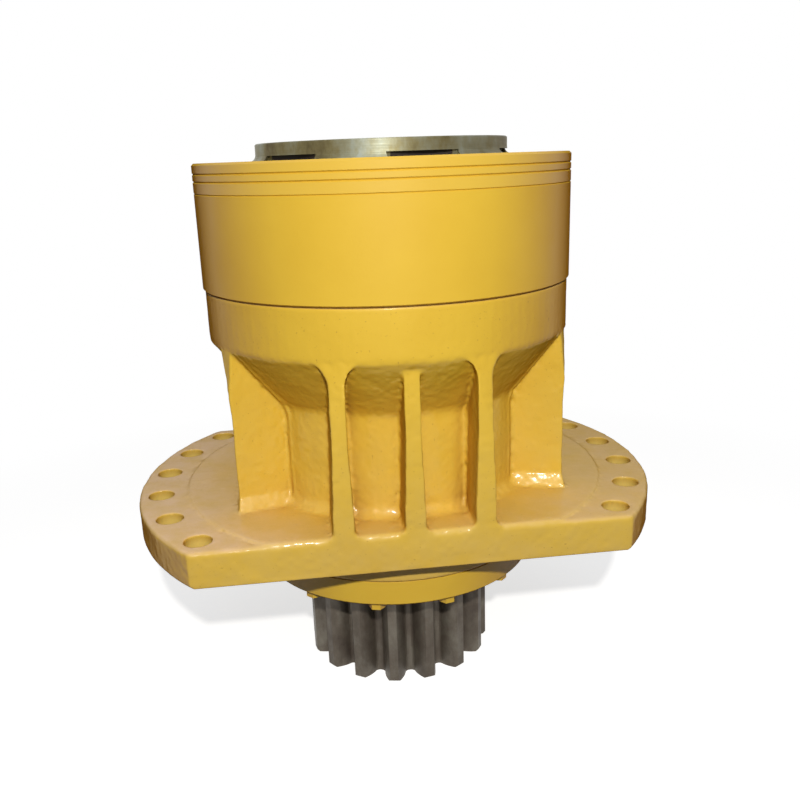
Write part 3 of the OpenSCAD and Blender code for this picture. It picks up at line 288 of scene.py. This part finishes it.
def dress(tree, node, looks):
    """looks: names of the node's inputs, each with its value."""
    for name, value in looks.items():
        feed(tree, value, node.inputs[name])


def object_point(tree, stretch=(1, 1, 1)):
    coords = tree.nodes.new("ShaderNodeTexCoord")
    mapping = tree.nodes.new("ShaderNodeMapping")
    mapping.inputs["Scale"].default_value = stretch
    feed(tree, coords.outputs["Object"], mapping.inputs["Vector"])
    return mapping.outputs["Vector"]


def noise(tree, point, size, detail=4.0, roughness=0.55):
    """Noise whose lumps are about size metres across."""
    node = tree.nodes.new("ShaderNodeTexNoise")
    dress(tree, node, {"Vector": point, "Scale": 1 / size, "Detail": detail, "Roughness": roughness})
    return node.outputs["Fac"]


def ramp(tree, value, stops):
    """stops: (position, colour) pairs; a plain number is a grey."""
    node = tree.nodes.new("ShaderNodeValToRGB")
    elements = node.color_ramp.elements
    while len(elements) < len(stops):
        elements.new(0.5)
    for element, (position, colour) in zip(elements, stops):
        element.position = position
        if not isinstance(colour, tuple):
            colour = (colour, colour, colour)
        element.color = (*colour, 1)
    feed(tree, value, node.inputs["Fac"])
    return node.outputs["Color"]


def blend(tree, value, low, high, span=NOISE_SPAN):
    """Goes from low to high, numbers or colours, while value goes through span."""
    return ramp(tree, value, [(span[0], low), (span[1], high)])


def mix(tree, factor, a, b, blend_type="MIX"):
    """Colour a where factor is 0 and b where it is 1."""
    node = tree.nodes.new("ShaderNodeMix")
    node.data_type = "RGBA"
    node.blend_type = blend_type
    feed(tree, factor, node.inputs["Factor"])
    for name, value in (("A", a), ("B", b)):
        socket = [s for s in node.inputs if s.name == name and s.type == "RGBA"][0]
        feed(tree, value, socket)
    return [s for s in node.outputs if s.type == "RGBA"][0]


def maths(tree, operation, *values, clamp=False):
    """clamp keeps the answer from 0 to 1."""
    node = tree.nodes.new("ShaderNodeMath")
    node.operation = operation
    node.use_clamp = clamp
    for value, socket in zip(values, node.inputs):
        feed(tree, value, socket)
    return node.outputs[0]


def fade(tree, value, start, end):
    """0 up to start and 1 from end on; start may be the higher of the two."""
    return maths(tree, "DIVIDE", maths(tree, "SUBTRACT", value, start), end - start, clamp=True)


def between(tree, share, low, high):
    """low where share is 0, high where it is 1."""
    return maths(tree, "ADD", maths(tree, "MULTIPLY", share, high - low), low)


def split(tree, vector):
    """A vector's x, y and z."""
    node = tree.nodes.new("ShaderNodeSeparateXYZ")
    feed(tree, vector, node.inputs["Vector"])
    return list(node.outputs)


def hypotenuse(tree, a, b):
    squares = maths(tree, "ADD", maths(tree, "MULTIPLY", a, a), maths(tree, "MULTIPLY", b, b))
    return maths(tree, "SQRT", squares)


def radius_and_height(tree):
    """Distance from the shaft's axis, and height."""
    x, y, z = split(tree, object_point(tree))
    return hypotenuse(tree, x, y), z


def facing_up(tree):
    """The surface's upward lean: 1 for a level top, 0 for a wall or an underside."""
    surface = tree.nodes.new("ShaderNodeNewGeometry")
    _, _, upward = split(tree, surface.outputs["Normal"])
    return maths(tree, "MAXIMUM", upward, 0.0)


def by_glance(tree, square, glancing, span=GLANCE_SPAN):
    """Goes from square, seen face on, to glancing, seen along the surface."""
    glance = tree.nodes.new("ShaderNodeLayerWeight")
    return blend(tree, glance.outputs["Facing"], square, glancing, span)


def bump(tree, height, depth, after=None):
    node = tree.nodes.new("ShaderNodeBump")
    dress(tree, node, {"Height": height, "Distance": depth})
    if after is not None:
        feed(tree, after, node.inputs["Normal"])
    return node.outputs["Normal"]


def seen_directly(tree):
    """1 for rays from the camera, from gloss and through glass."""
    path = tree.nodes.new("ShaderNodeLightPath")
    either = maths(tree, "MAXIMUM", path.outputs["Is Camera Ray"], path.outputs["Is Glossy Ray"])
    return maths(tree, "MAXIMUM", either, path.outputs["Is Transmission Ray"])


def join_shaders(tree, factor, first, second, output):
    """Ends the tree in the shader first where factor is 0 and in second where it is 1."""
    join = tree.nodes.new("ShaderNodeMixShader")
    for value, socket in zip((factor, first.outputs[0], second.outputs[0]), join.inputs):
        feed(tree, value, socket)
    feed(tree, join.outputs[0], tree.nodes[output].inputs[0])


# Enamel


def hole_distance(tree):
    """Distance from the nearest flange hole's axis; each side's middle lies between two holes."""
    x, y, _ = split(tree, object_point(tree))
    radius, _ = radius_and_height(tree)
    step = math.radians(HOLE_STEP)
    angle = maths(tree, "ARCTAN2", y, maths(tree, "ABSOLUTE", x))
    steps = maths(tree, "ADD", maths(tree, "DIVIDE", angle, step), 0.5)
    off = maths(tree, "SUBTRACT", steps, maths(tree, "ROUND", steps))
    along = maths(tree, "MULTIPLY", off, step * HOLE_CIRCLE_R)
    across = maths(tree, "SUBTRACT", radius, HOLE_CIRCLE_R)
    return hypotenuse(tree, along, across)


def hole_walls(tree):
    """1 on the walls of the flange's holes, from a lip below their edges down."""
    _, height = radius_and_height(tree)
    in_hole = maths(tree, "LESS_THAN", hole_distance(tree), HOLE_WALL_R)
    return maths(tree, "MULTIPLY", in_hole, fade(tree, height, HOLE_EDGE_Z, HOLE_EDGE_Z - HOLE_LIP))


def seam(tree):
    """1 on the joint between casing and ring gear, 0 a little way from it."""
    _, height = radius_and_height(tree)
    away = maths(tree, "ABSOLUTE", maths(tree, "SUBTRACT", height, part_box("casing")[1][2]))
    return fade(tree, away, SEAM_HALF, 0.0)


def crevices(tree, shade):
    """Up to shade in corners and grooves, 0 on open faces."""
    node = tree.nodes.new("ShaderNodeAmbientOcclusion")
    node.samples = CREVICE_SAMPLES
    node.inputs["Distance"].default_value = CREVICE_REACH
    return blend(tree, node.outputs["AO"], shade, 0.0, CREVICE_OPENNESS)


def shaded(tree, colour):
    """The colour with painted shade: browner and darker where the surface is seen along itself."""
    _, height = radius_and_height(tree)
    above_pad = maths(tree, "GREATER_THAN", height, PAD_Z)
    neck = maths(tree, "MULTIPLY", above_pad, maths(tree, "LESS_THAN", height, BAND_Z))
    loss = maths(tree, "MAXIMUM", facing_up(tree), maths(tree, "MULTIPLY", neck, NECK_SHADE_LOSS))
    kept = maths(tree, "SUBTRACT", 1.0, maths(tree, "MULTIPLY", loss, UP_SHADE_LOSS), clamp=True)
    return mix(tree, kept, colour, by_glance(tree, 1.0, GRAZING_SHADE, GRAZING_SPAN), "MULTIPLY")


def greyed_low_with_grit(tree, colour, low_grey):
    """The colour greyer and darker in patches, more so toward the flange, and specks of grit."""
    point = object_point(tree)
    _, height = radius_and_height(tree)
    low = maths(tree, "MULTIPLY", fade(tree, height, LOW_GREY_TOP_Z, 0.0), low_grey)
    patches = blend(tree, noise(tree, point, LOW_GREY_SIZE, 5, 0.6), *LOW_GREY_PATCHES)
    colour = mix(tree, maths(tree, "MULTIPLY", low, patches), colour, PAINT_LOW_GREY)
    grit = blend(tree, noise(tree, point, GRIT_SIZE, 2, 0.5), *GRIT)
    return mix(tree, grit, colour, PAINT_SHADE_AND_GRIME)


def dust_and_sheen_on_tops(tree):
    """How much dust and painted sheen lies on a face: lighter on what faces up, with dust flecks."""
    point = object_point(tree)
    x, _, _ = split(tree, point)
    radius, _ = radius_and_height(tree)
    outward = between(tree, fade(tree, radius, *DUST_SHEEN_RING_R), *DUST_SHEEN_RING_SHARES)
    leftward = between(tree, fade(tree, x, *DUST_SHEEN_LEFT_X), *DUST_SHEEN_LEFT_SHARES)
    share = maths(tree, "MULTIPLY", outward, leftward)
    patches = blend(tree, noise(tree, point, DUST_SHEEN_PATCH_SIZE, 5, 0.65), *DUST_SHEEN_PATCHES)
    share = maths(tree, "MULTIPLY", share, patches)
    flecks = noise(tree, object_point(tree, (1, 2, 1)), DUST_FLECK_SIZE, 2, 0.5)
    share = maths(tree, "ADD", share, blend(tree, flecks, *DUST_FLECKS))
    lying = maths(tree, "MULTIPLY", fade(tree, facing_up(tree), *LYING_SPAN), DUST_AND_SHEEN_SHARE)
    return maths(tree, "MULTIPLY", lying, share, clamp=True)


def enamel_colour(tree, low_grey=0.0, crevice=CREVICE_SHADE):
    """Yellow that wanders a little, with painted shade in crevices and at a glance and a dark seam;
    on the casting also greyer low down with grit, dust and painted sheen on tops, and painted light
    on the holes' walls.
    """
    cloud = noise(tree, object_point(tree), PAINT_CLOUD, 5)
    colour = blend(tree, cloud, PAINT_DEEP, PAINT_LIGHT)
    if low_grey:
        colour = greyed_low_with_grit(tree, colour, low_grey)
    # Painted shade in corners and grooves
    colour = mix(tree, crevices(tree, crevice), colour, PAINT_SHADE_AND_GRIME)
    colour = shaded(tree, colour)
    colour = mix(tree, seam(tree), colour, PAINT_SHADE_AND_GRIME)
    if low_grey:
        # Dust and painted sheen: faces that look up painted lighter
        colour = mix(tree, dust_and_sheen_on_tops(tree), colour, PAINT_DUST_AND_SHEEN)
        # Painted light on the walls of the flange's holes
        colour = mix(tree, hole_walls(tree), colour, PAINT_HOLE_WALL_LIGHT)
    return colour


def enamel_skin(tree, swell_depth):
    """Low swells under the paint and the orange peel of the paint itself."""
    point = object_point(tree)
    swell = bump(tree, noise(tree, point, SWELL_SIZE, 3, 0.5), swell_depth)
    return bump(tree, noise(tree, point, PEEL_SIZE, 2, 0.5), PEEL_DEPTH, swell)


def oiled_inside(tree):
    """1 on the machined bores and gear teeth inside the casing and the ring gear."""
    radius, height = radius_and_height(tree)
    in_band = maths(tree, "GREATER_THAN", height, BAND_Z)
    bore = between(tree, in_band, NECK_HOLLOW_R, BAND_HOLLOW_R)
    within = maths(tree, "LESS_THAN", radius, bore)
    return maths(tree, "MULTIPLY", within, maths(tree, "GREATER_THAN", height, PAD_Z))


def enamel(name, swell_depth, low_grey=0.0):
    """Thick yellow paint outside, oiled iron inside."""
    mat, tree, shader = new_material(name)
    inside = oiled_inside(tree)
    gloss = blend(tree, noise(tree, object_point(tree), GLOSS_PATCH_SIZE), *GLOSS_PATCHES)
    dress(tree, shader, {
        "Base Color": mix(tree, inside, enamel_colour(tree, low_grey), OILED_IRON),
        "Metallic": maths(tree, "MULTIPLY", inside, OILED_METALLIC),
        "Roughness": maths(tree, "MAXIMUM", gloss, by_glance(tree, *ENAMEL_ROUGHNESS)),
        "Normal": enamel_skin(tree, swell_depth),
        "Specular IOR Level": by_glance(tree, *ENAMEL_SPECULAR),
        "Coat Weight": by_glance(tree, *ENAMEL_COAT),
        "Coat Roughness": 0.15,
    })
    return mat


# The cover


def bare_seat(tree):
    """1 on the machined seat and inside it, 0 on the painted rim, with a ragged line between."""
    radius, _ = radius_and_height(tree)
    ragged = maths(tree, "SUBTRACT", noise(tree, object_point(tree), RAGGED_SIZE), 0.5)
    edge = maths(tree, "MULTIPLY", ragged, RAGGED_REACH)
    return maths(tree, "LESS_THAN", maths(tree, "ADD", radius, edge), SEAT_R + SEAT_FOOT)


def in_slots(tree, rim_z):
    """1 at the back of the slots under the seat, where black shade is painted, 0 elsewhere."""
    radius, height = radius_and_height(tree)
    middle_r = SLOT_FLOOR_R - SLOT_SHADE_HALF_DEPTH
    deep = maths(tree, "COMPARE", radius, middle_r, SLOT_SHADE_HALF_DEPTH)
    half_h = SLOT_H / 2
    low = maths(tree, "COMPARE", height, rim_z + half_h, half_h + SLOT_SHADE_PAST_SLOT)
    return maths(tree, "MULTIPLY", deep, low)


def seat_colour(tree):
    """Stained iron, darker in patches toward the right."""
    stain = noise(tree, object_point(tree, (1, 1, 0.6)), SEAT_STAIN_SIZE, 5, 0.62)
    point = object_point(tree)
    x, _, _ = split(tree, point)
    dark_patches = blend(tree, noise(tree, point, SEAT_DARK_PATCH_SIZE), *SEAT_DARK_PATCHES)
    darker_right = maths(tree, "MULTIPLY", fade(tree, x, 0.0, SEAT_R), dark_patches)
    darker_right = maths(tree, "MULTIPLY", darker_right, SEAT_DARKER_RIGHT_SHARE)
    return mix(tree, darker_right, ramp(tree, stain, SEAT_IRON), SEAT_DARKER_RIGHT)


def around_axis(tree):
    """The direction in which the lathe's tool went round."""
    node = tree.nodes.new("ShaderNodeTangent")
    node.direction_type = "RADIAL"
    node.axis = "Z"
    return node.outputs["Tangent"]


def cover_finish(name, rim_z):
    """The cover: turned bare iron on the motor seat, painted black shade in its slots, enamel on the
    rim.
    """
    mat, tree, shader = new_material(name)
    bare = bare_seat(tree)
    slot_shade = in_slots(tree, rim_z)
    bare_unshaded = maths(tree, "SUBTRACT", bare, slot_shade)
    painted = maths(tree, "SUBTRACT", 1.0, bare)
    # Painted shade: black at the back of the slots
    iron = mix(tree, slot_shade, seat_colour(tree), SLOT_SHADE_BLACK)
    lines = noise(tree, object_point(tree, (0.02, 0.02, 1)), TURNED_LINES, 2)
    dulled = by_glance(tree, *ENAMEL_ROUGHNESS)
    satin = maths(tree, "MAXIMUM", COVER_PAINT_ROUGHNESS, dulled)
    dress(tree, shader, {
        "Base Color": mix(tree, bare, enamel_colour(tree, crevice=GROOVE_SHADE), iron),
        "Roughness": mix(tree, bare, satin, blend(tree, lines, *TURNED_ROUGHNESS)),
        "Metallic": maths(tree, "MULTIPLY", bare_unshaded, 0.85),
        "Tangent": around_axis(tree),
        "Anisotropic": maths(tree, "MULTIPLY", bare_unshaded, 0.75),
        "Anisotropic Rotation": 0.25,
        "Normal": enamel_skin(tree, COVER_SWELL),
        "Specular IOR Level": by_glance(tree, *ENAMEL_SPECULAR),
        "Coat Weight": maths(tree, "MULTIPLY", by_glance(tree, *COVER_COAT), painted),
        "Coat Roughness": 0.06,
    })
    return mat


# Steel, bronze and rubber


def steel(name, low, high, rough=(0.3, 0.5)):
    """Bare metal whose colour wanders between low and high, with a fine grain."""
    mat, tree, shader = new_material(name)
    point = object_point(tree)
    grain = noise(tree, point, STEEL_GRAIN, 3)
    dress(tree, shader, {
        "Base Color": blend(tree, noise(tree, point, STEEL_CLOUD, 5), low, high),
        "Roughness": blend(tree, grain, *rough),
        "Normal": bump(tree, grain, STEEL_GRAIN_DEPTH),
        "Metallic": 1.0,
    })
    return mat


def forged_steel(name):
    """The pinion: dark heat-treated steel with brown stains, upright streaks and pits."""
    mat, tree, shader = new_material(name)
    stain = noise(tree, object_point(tree, (1, 1, 0.7)), FORGED_STAIN_SIZE, 6, 0.65)
    streak = noise(tree, object_point(tree, (1, 1, 0.08)), FORGED_STREAK_SIZE, 3)
    pits = noise(tree, object_point(tree), FORGED_PIT_SIZE, 3)
    dark = blend(tree, streak, *FORGED_STREAKS)
    dress(tree, shader, {
        "Base Color": mix(tree, 1.0, ramp(tree, stain, FORGED_STEEL), dark, "MULTIPLY"),
        "Roughness": blend(tree, stain, *FORGED_ROUGHNESS),
        "Normal": bump(tree, pits, FORGED_PIT_DEPTH),
        "Metallic": 0.4,
    })
    return mat


def rubber(name):
    mat, tree, shader = new_material(name)
    cloud = noise(tree, object_point(tree), RUBBER_CLOUD, 3)
    dress(tree, shader, {
        "Base Color": blend(tree, cloud, *RUBBER_GREYS),
        "Roughness": 0.55,
    })
    return mat


def paint_nodes(nodes, record):
    """Gives each node the material of its slot, and the cover a finish of its own."""
    materials = {
        "yellow_paint": enamel("enamel_on_turned_iron", TURNED_SWELL),
        "pinion_steel": forged_steel("pinion_steel"),
        "bright_steel": steel("ground_steel", (0.42, 0.43, 0.44), (0.56, 0.57, 0.58)),
        "gear_steel": steel("gear_steel", (0.22, 0.23, 0.24), (0.34, 0.34, 0.35)),
        "black_oxide": steel("black_oxide", (0.015, 0.015, 0.017), (0.03, 0.03, 0.03)),
        "seal_rubber": rubber("nitrile"),
        "bronze": steel("bronze", (0.42, 0.22, 0.07), (0.56, 0.32, 0.11)),
        "machined_iron": steel("machined_iron", (0.20, 0.21, 0.18), (0.30, 0.31, 0.26), (0.35, 0.55)),
    }
    slots = {row["node"]: row["material_slot"] for row in record["subparts"]}
    for name, obj in nodes.items():
        obj.data.materials.clear()
        obj.data.materials.append(materials[slots[name]])
    rim_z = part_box("top_cover")[1][2] - RIM_TO_TOP
    nodes["top_cover"].data.materials[0] = cover_finish("cover_iron_and_enamel", rim_z)


# Meshes


def read_points(mesh):
    points = np.empty(3 * len(mesh.vertices))
    mesh.vertices.foreach_get("co", points)
    return points.reshape(-1, 3)


def write_points(mesh, points):
    mesh.vertices.foreach_set("co", points.ravel())
    mesh.update()


def read_normals(mesh):
    normals = np.empty(3 * len(mesh.vertices))
    mesh.vertex_normals.foreach_get("vector", normals)
    return normals.reshape(-1, 3)


def read_net(mesh):
    """The edges, as pairs of points, and how many of them meet at each point."""
    edges = np.empty(2 * len(mesh.edges), dtype=np.int64)
    mesh.edges.foreach_get("vertices", edges)
    valence = np.maximum(np.bincount(edges, minlength=len(mesh.vertices)), 1)
    return edges.reshape(-1, 2), valence


def neighbour_mean(values, edges, valence):
    """The mean of the values at the points that each point shares an edge with."""
    total = np.empty_like(values)
    for axis in range(values.shape[1]):
        column = values[:, axis]
        total[:, axis] = np.bincount(edges[:, 0], column[edges[:, 1]], len(values))
        total[:, axis] += np.bincount(edges[:, 1], column[edges[:, 0]], len(values))
    return total / valence[:, None]


def relaxed(points, net, steps):
    """Points after steps that each take them halfway to their neighbours' mean."""
    for _ in range(steps):
        points = points + 0.5 * (neighbour_mean(points, *net) - points)
    return points


def softened(points, net, steps, share):
    """Points relaxed by each one's share."""
    return points + share[:, None] * (relaxed(points, net, steps) - points)


def lumps(points, size, seed):
    """Smooth noise from about -1 to 1 at each point, in lumps about size metres across."""
    lattice = np.random.default_rng(seed).uniform(-1, 1, (LATTICE, LATTICE, LATTICE))
    cell = np.floor(points / size).astype(np.int64)
    along = points / size - cell
    along = along**3 * (along * (along * 6 - 15) + 10)
    total = np.zeros(len(points))
    for corner in np.ndindex(2, 2, 2):
        weight = np.prod(np.where(np.array(corner) == 1, along, 1 - along), axis=1)
        x, y, z = ((cell + corner) % LATTICE).T
        total += weight * lattice[x, y, z]
    return total


def remesh(obj):
    """Turns the surface into even small faces."""
    skin = obj.modifiers.new("voxels", "REMESH")
    skin.mode = "VOXEL"
    skin.voxel_size = VOXEL
    graph = bpy.context.evaluated_depsgraph_get()
    mesh = bpy.data.meshes.new_from_object(obj.evaluated_get(graph))
    obj.modifiers.clear()
    obj.data = mesh
    mesh.shade_smooth()


# The casting


def fillet_height(away, radius):
    """Height of a hollow fillet at a distance from the wall it leans on."""
    inside = np.clip(away, 0, radius)
    return radius - np.sqrt(radius**2 - (radius - inside) ** 2)


def rim_at(turned, across):
    """How far the turned form reaches one way where it is across wide the other way."""
    return np.sqrt(np.clip(turned**2 - across**2, 0, None))


def set_back_columns(points):
    """Moves the columns' faces, sides and feet in to where the photograph has them."""
    side, front, height = np.abs(points[:, 0]), np.abs(points[:, 1]), points[:, 2]
    radius = np.hypot(side, front)
    turned = np.interp(height, TURNED_Z, TURNED_R)
    lift = np.clip(height - COLUMN_SWEEP_Z, 0, COLUMN_SWEEP_R)
    reach = COLUMN_REACH + COLUMN_SWEEP_R - np.sqrt(COLUMN_SWEEP_R**2 - lift**2)
    column = (side > COLUMN_FROM_X) & (radius > turned + COLUMN_CLEAR)
    column &= (height > PAD_Z) & (height < BAND_Z)
    wall = column & (height > PAD_Z + NECK_FOOT_R)

    new_side = np.where(wall, np.minimum(side, np.maximum(reach, rim_at(turned, front))), side)
    face = COLUMN_HALF_W - (COLUMN_REACH - np.minimum(new_side, reach)) * math.tan(COLUMN_TAPER)
    new_front = np.where(wall, np.minimum(front, np.maximum(face, rim_at(turned, new_side))), front)

    at_column = fillet_height(np.maximum(front - face, side - reach), COLUMN_FOOT_R)
    ground = np.maximum(at_column, fillet_height(radius - turned, NECK_FOOT_R))
    new_height = np.where(column & ~wall, np.minimum(height, PAD_Z + ground), height)
    signs = np.sign(points[:, :2])
    return np.column_stack((new_side * signs[:, 0], new_front * signs[:, 1], new_height))


def as_cast(away, clear):
    """0 up to clear from a machined face, 1 from a margin further on."""
    return np.clip((away - clear) / MACHINED_MARGIN, 0, 1)


def cast_share(points):
    """1 where the outside of the casting is as cast, 0 where it is machined."""
    radius = np.hypot(points[:, 0], points[:, 1])
    height = points[:, 2]
    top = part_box("casing")[1][2]
    share = as_cast(height, BOTTOM_CLEAR) * as_cast(top - height, TOP_CLEAR)
    share *= radius > np.where(height > BAND_Z, BAND_HOLLOW_R, NECK_HOLLOW_R)
    for side in (0, 180):
        for i in range(HOLES_PER_SIDE):
            angle = math.radians(side + HOLE_STEP * (i - (HOLES_PER_SIDE - 1) / 2))
            x, y = HOLE_CIRCLE_R * math.cos(angle), HOLE_CIRCLE_R * math.sin(angle)
            share *= as_cast(np.hypot(points[:, 0] - x, points[:, 1] - y), HOLE_CLEAR_R)
    return share


def soft_edge_share(points):
    """1 along the flange's front and back top edges, 0 elsewhere."""
    from_edge = (FLANGE_HALF_W - np.abs(points[:, 1])) / SOFT_EDGE_DEPTH
    from_level = np.abs(points[:, 2] - SOFT_EDGE_Z) / SOFT_EDGE_DEPTH
    side = np.clip(1 - from_edge, 0, 1)
    level = np.clip(SOFT_EDGE_REACH - from_level, 0, 1)
    return np.clip(SOFT_EDGE_GAIN * side * level, 0, 1)


def relief(points, normals, net):
    """How far each point stands out: waves and pits, and beads where the form is hollow."""
    shift = WAVE_DEPTH * lumps(points, WAVE_SIZE, WAVE_SEED)
    shift += PIT_DEPTH * lumps(points, PIT_SIZE, PIT_SEED)
    shift *= np.where(normals[:, 2] > LEVEL_TOP_RISE, LEVEL_TOP_SHARE, 1)
    shift *= np.interp(points[:, 2], (BAND_Z, BAND_Z + BAND_CHANGE), (1, BAND_SHARE))
    hollow = ((relaxed(points, net, CONCAVITY_STEPS) - points) * normals).sum(axis=1)
    beads = lumps(points, BEAD_SIZE, BEAD_SEED)
    beads += FINE_BEAD_SHARE * lumps(points, BEAD_SIZE / 2, FINE_BEAD_SEED)
    return shift + BEAD_DEPTH * np.clip(hollow / CONCAVITY_FULL, 0, 1) * beads


def casting(source):
    """The casing as cast and painted: rounded edges, waves, pits and beaded fillets."""
    obj = bpy.data.objects.new("casing_casting", source.data.copy())
    bpy.context.scene.collection.objects.link(obj)
    remesh(obj)
    write_points(obj.data, set_back_columns(read_points(obj.data)))
    remesh(obj)

    mesh = obj.data
    net = read_net(mesh)
    points = read_points(mesh)
    points = softened(points, net, SOFT_EDGE_STEPS, soft_edge_share(points))
    share = cast_share(points)
    points = softened(points, net, SOFTENING_STEPS, share)
    write_points(mesh, points)
    normals = read_normals(mesh)
    shift = relief(points, normals, net) * share
    write_points(mesh, points + normals * shift[:, None])

    mesh.materials.clear()
    mesh.materials.append(enamel("enamel_on_casting", CAST_SWELL, CAST_LOW_GREY))
    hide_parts("casing")
    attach(obj, "casing")


def round_edges(nodes):
    for name, width in EDGE_ROUNDING.items():
        edge = nodes[name].modifiers.new("rounded_edges", "BEVEL")
        edge.width = width
        edge.segments = EDGE_SEGMENTS
        edge.limit_method = "ANGLE"
        edge.angle_limit = EDGE_ANGLE
        edge.harden_normals = False


# Stage


def floor():
    """Plain pale floor with the object's shadow on it, plain white far off."""
    bpy.ops.mesh.primitive_plane_add(size=FLOOR_SIZE, location=(0, 0, FLOOR_Z))
    obj = bpy.context.object
    obj.name = "floor"
    mat, tree, shader = new_material("white_floor")
    seen = seen_directly(tree)
    dress(tree, shader, {
        "Base Color": mix(tree, seen, FLOOR_BOUNCE, FLOOR_SEEN),
        "Roughness": 1.0,
        "Specular IOR Level": 0.0,
        "Emission Color": WHITE,
        "Emission Strength": maths(tree, "MULTIPLY", seen, FLOOR_GLOW),
    })
    radius, _ = radius_and_height(tree)
    far_off = maths(tree, "MULTIPLY", fade(tree, radius, *FLOOR_FADE_R), seen)
    white = tree.nodes.new("ShaderNodeEmission")
    join_shaders(tree, far_off, shader, white, "Material Output")
    obj.data.materials.append(mat)


def white_world():
    """Plain soft light for the object and plain white for the camera and for reflections."""
    world = bpy.data.worlds.new("studio")
    bpy.context.scene.world = world
    world.use_nodes = True
    tree = world.node_tree
    direction = tree.nodes.new("ShaderNodeTexCoord")
    _, _, rise = split(tree, direction.outputs["Generated"])
    sky = tree.nodes["Background"]
    feed(tree, ramp(tree, rise, SKY_LIGHT), sky.inputs["Color"])
    white = tree.nodes.new("ShaderNodeBackground")
    feed(tree, WHITE, white.inputs["Color"])
    join_shaders(tree, seen_directly(tree), sky, white, "World Output")


def lamp():
    data = bpy.data.lights.new("key", "AREA")
    data.shape = "DISK"
    data.size = LAMP_SIZE
    data.energy = LAMP_WATTS
    data.color = LAMP_COLOUR
    obj = bpy.data.objects.new("key", data)
    obj.location = LAMP_PLACE
    toward = Vector(LAMP_AIM) - Vector(LAMP_PLACE)
    obj.rotation_euler = toward.to_track_quat("-Z", "Y").to_euler()
    bpy.context.scene.collection.objects.link(obj)


def camera_axes():
    """The camera's axes as the columns of a matrix: right, up and backward."""
    heading = CAMERA_TURN + CAMERA_YAW
    forward = Vector((
        math.sin(heading) * math.cos(CAMERA_PITCH),
        math.cos(heading) * math.cos(CAMERA_PITCH),
        -math.sin(CAMERA_PITCH),
    ))
    right = forward.cross(Vector((0, 0, 1))).normalized()
    up = right.cross(forward)
    right_rolled = right * math.cos(CAMERA_ROLL) + up * math.sin(CAMERA_ROLL)
    up_rolled = up * math.cos(CAMERA_ROLL) - right * math.sin(CAMERA_ROLL)
    return Matrix((right_rolled, up_rolled, -forward)).transposed()


def camera():
    data = bpy.data.cameras.new("camera")
    data.lens = CAMERA_LENS_MM
    data.sensor_width = SENSOR_WIDTH_MM
    obj = bpy.data.objects.new("camera", data)
    place = Vector((
        -CAMERA_DISTANCE * math.sin(CAMERA_TURN),
        -CAMERA_DISTANCE * math.cos(CAMERA_TURN),
        CAMERA_HEIGHT,
    ))
    obj.matrix_world = Matrix.Translation(place) @ camera_axes().to_4x4()
    bpy.context.scene.collection.objects.link(obj)
    bpy.context.scene.camera = obj


with open("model.json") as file:
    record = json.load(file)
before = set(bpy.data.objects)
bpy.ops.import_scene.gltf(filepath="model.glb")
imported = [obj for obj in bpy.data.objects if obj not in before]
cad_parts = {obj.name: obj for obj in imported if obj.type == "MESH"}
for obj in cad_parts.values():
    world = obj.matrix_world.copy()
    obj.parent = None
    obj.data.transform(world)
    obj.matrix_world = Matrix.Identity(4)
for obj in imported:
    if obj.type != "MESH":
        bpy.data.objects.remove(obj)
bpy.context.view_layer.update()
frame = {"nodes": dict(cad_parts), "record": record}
bpy.context.scene.view_settings.view_transform = "Standard"
paint_nodes(frame["nodes"], frame["record"])
casting(frame["nodes"]["casing"])
round_edges(frame["nodes"])
floor()
white_world()
lamp()
camera()
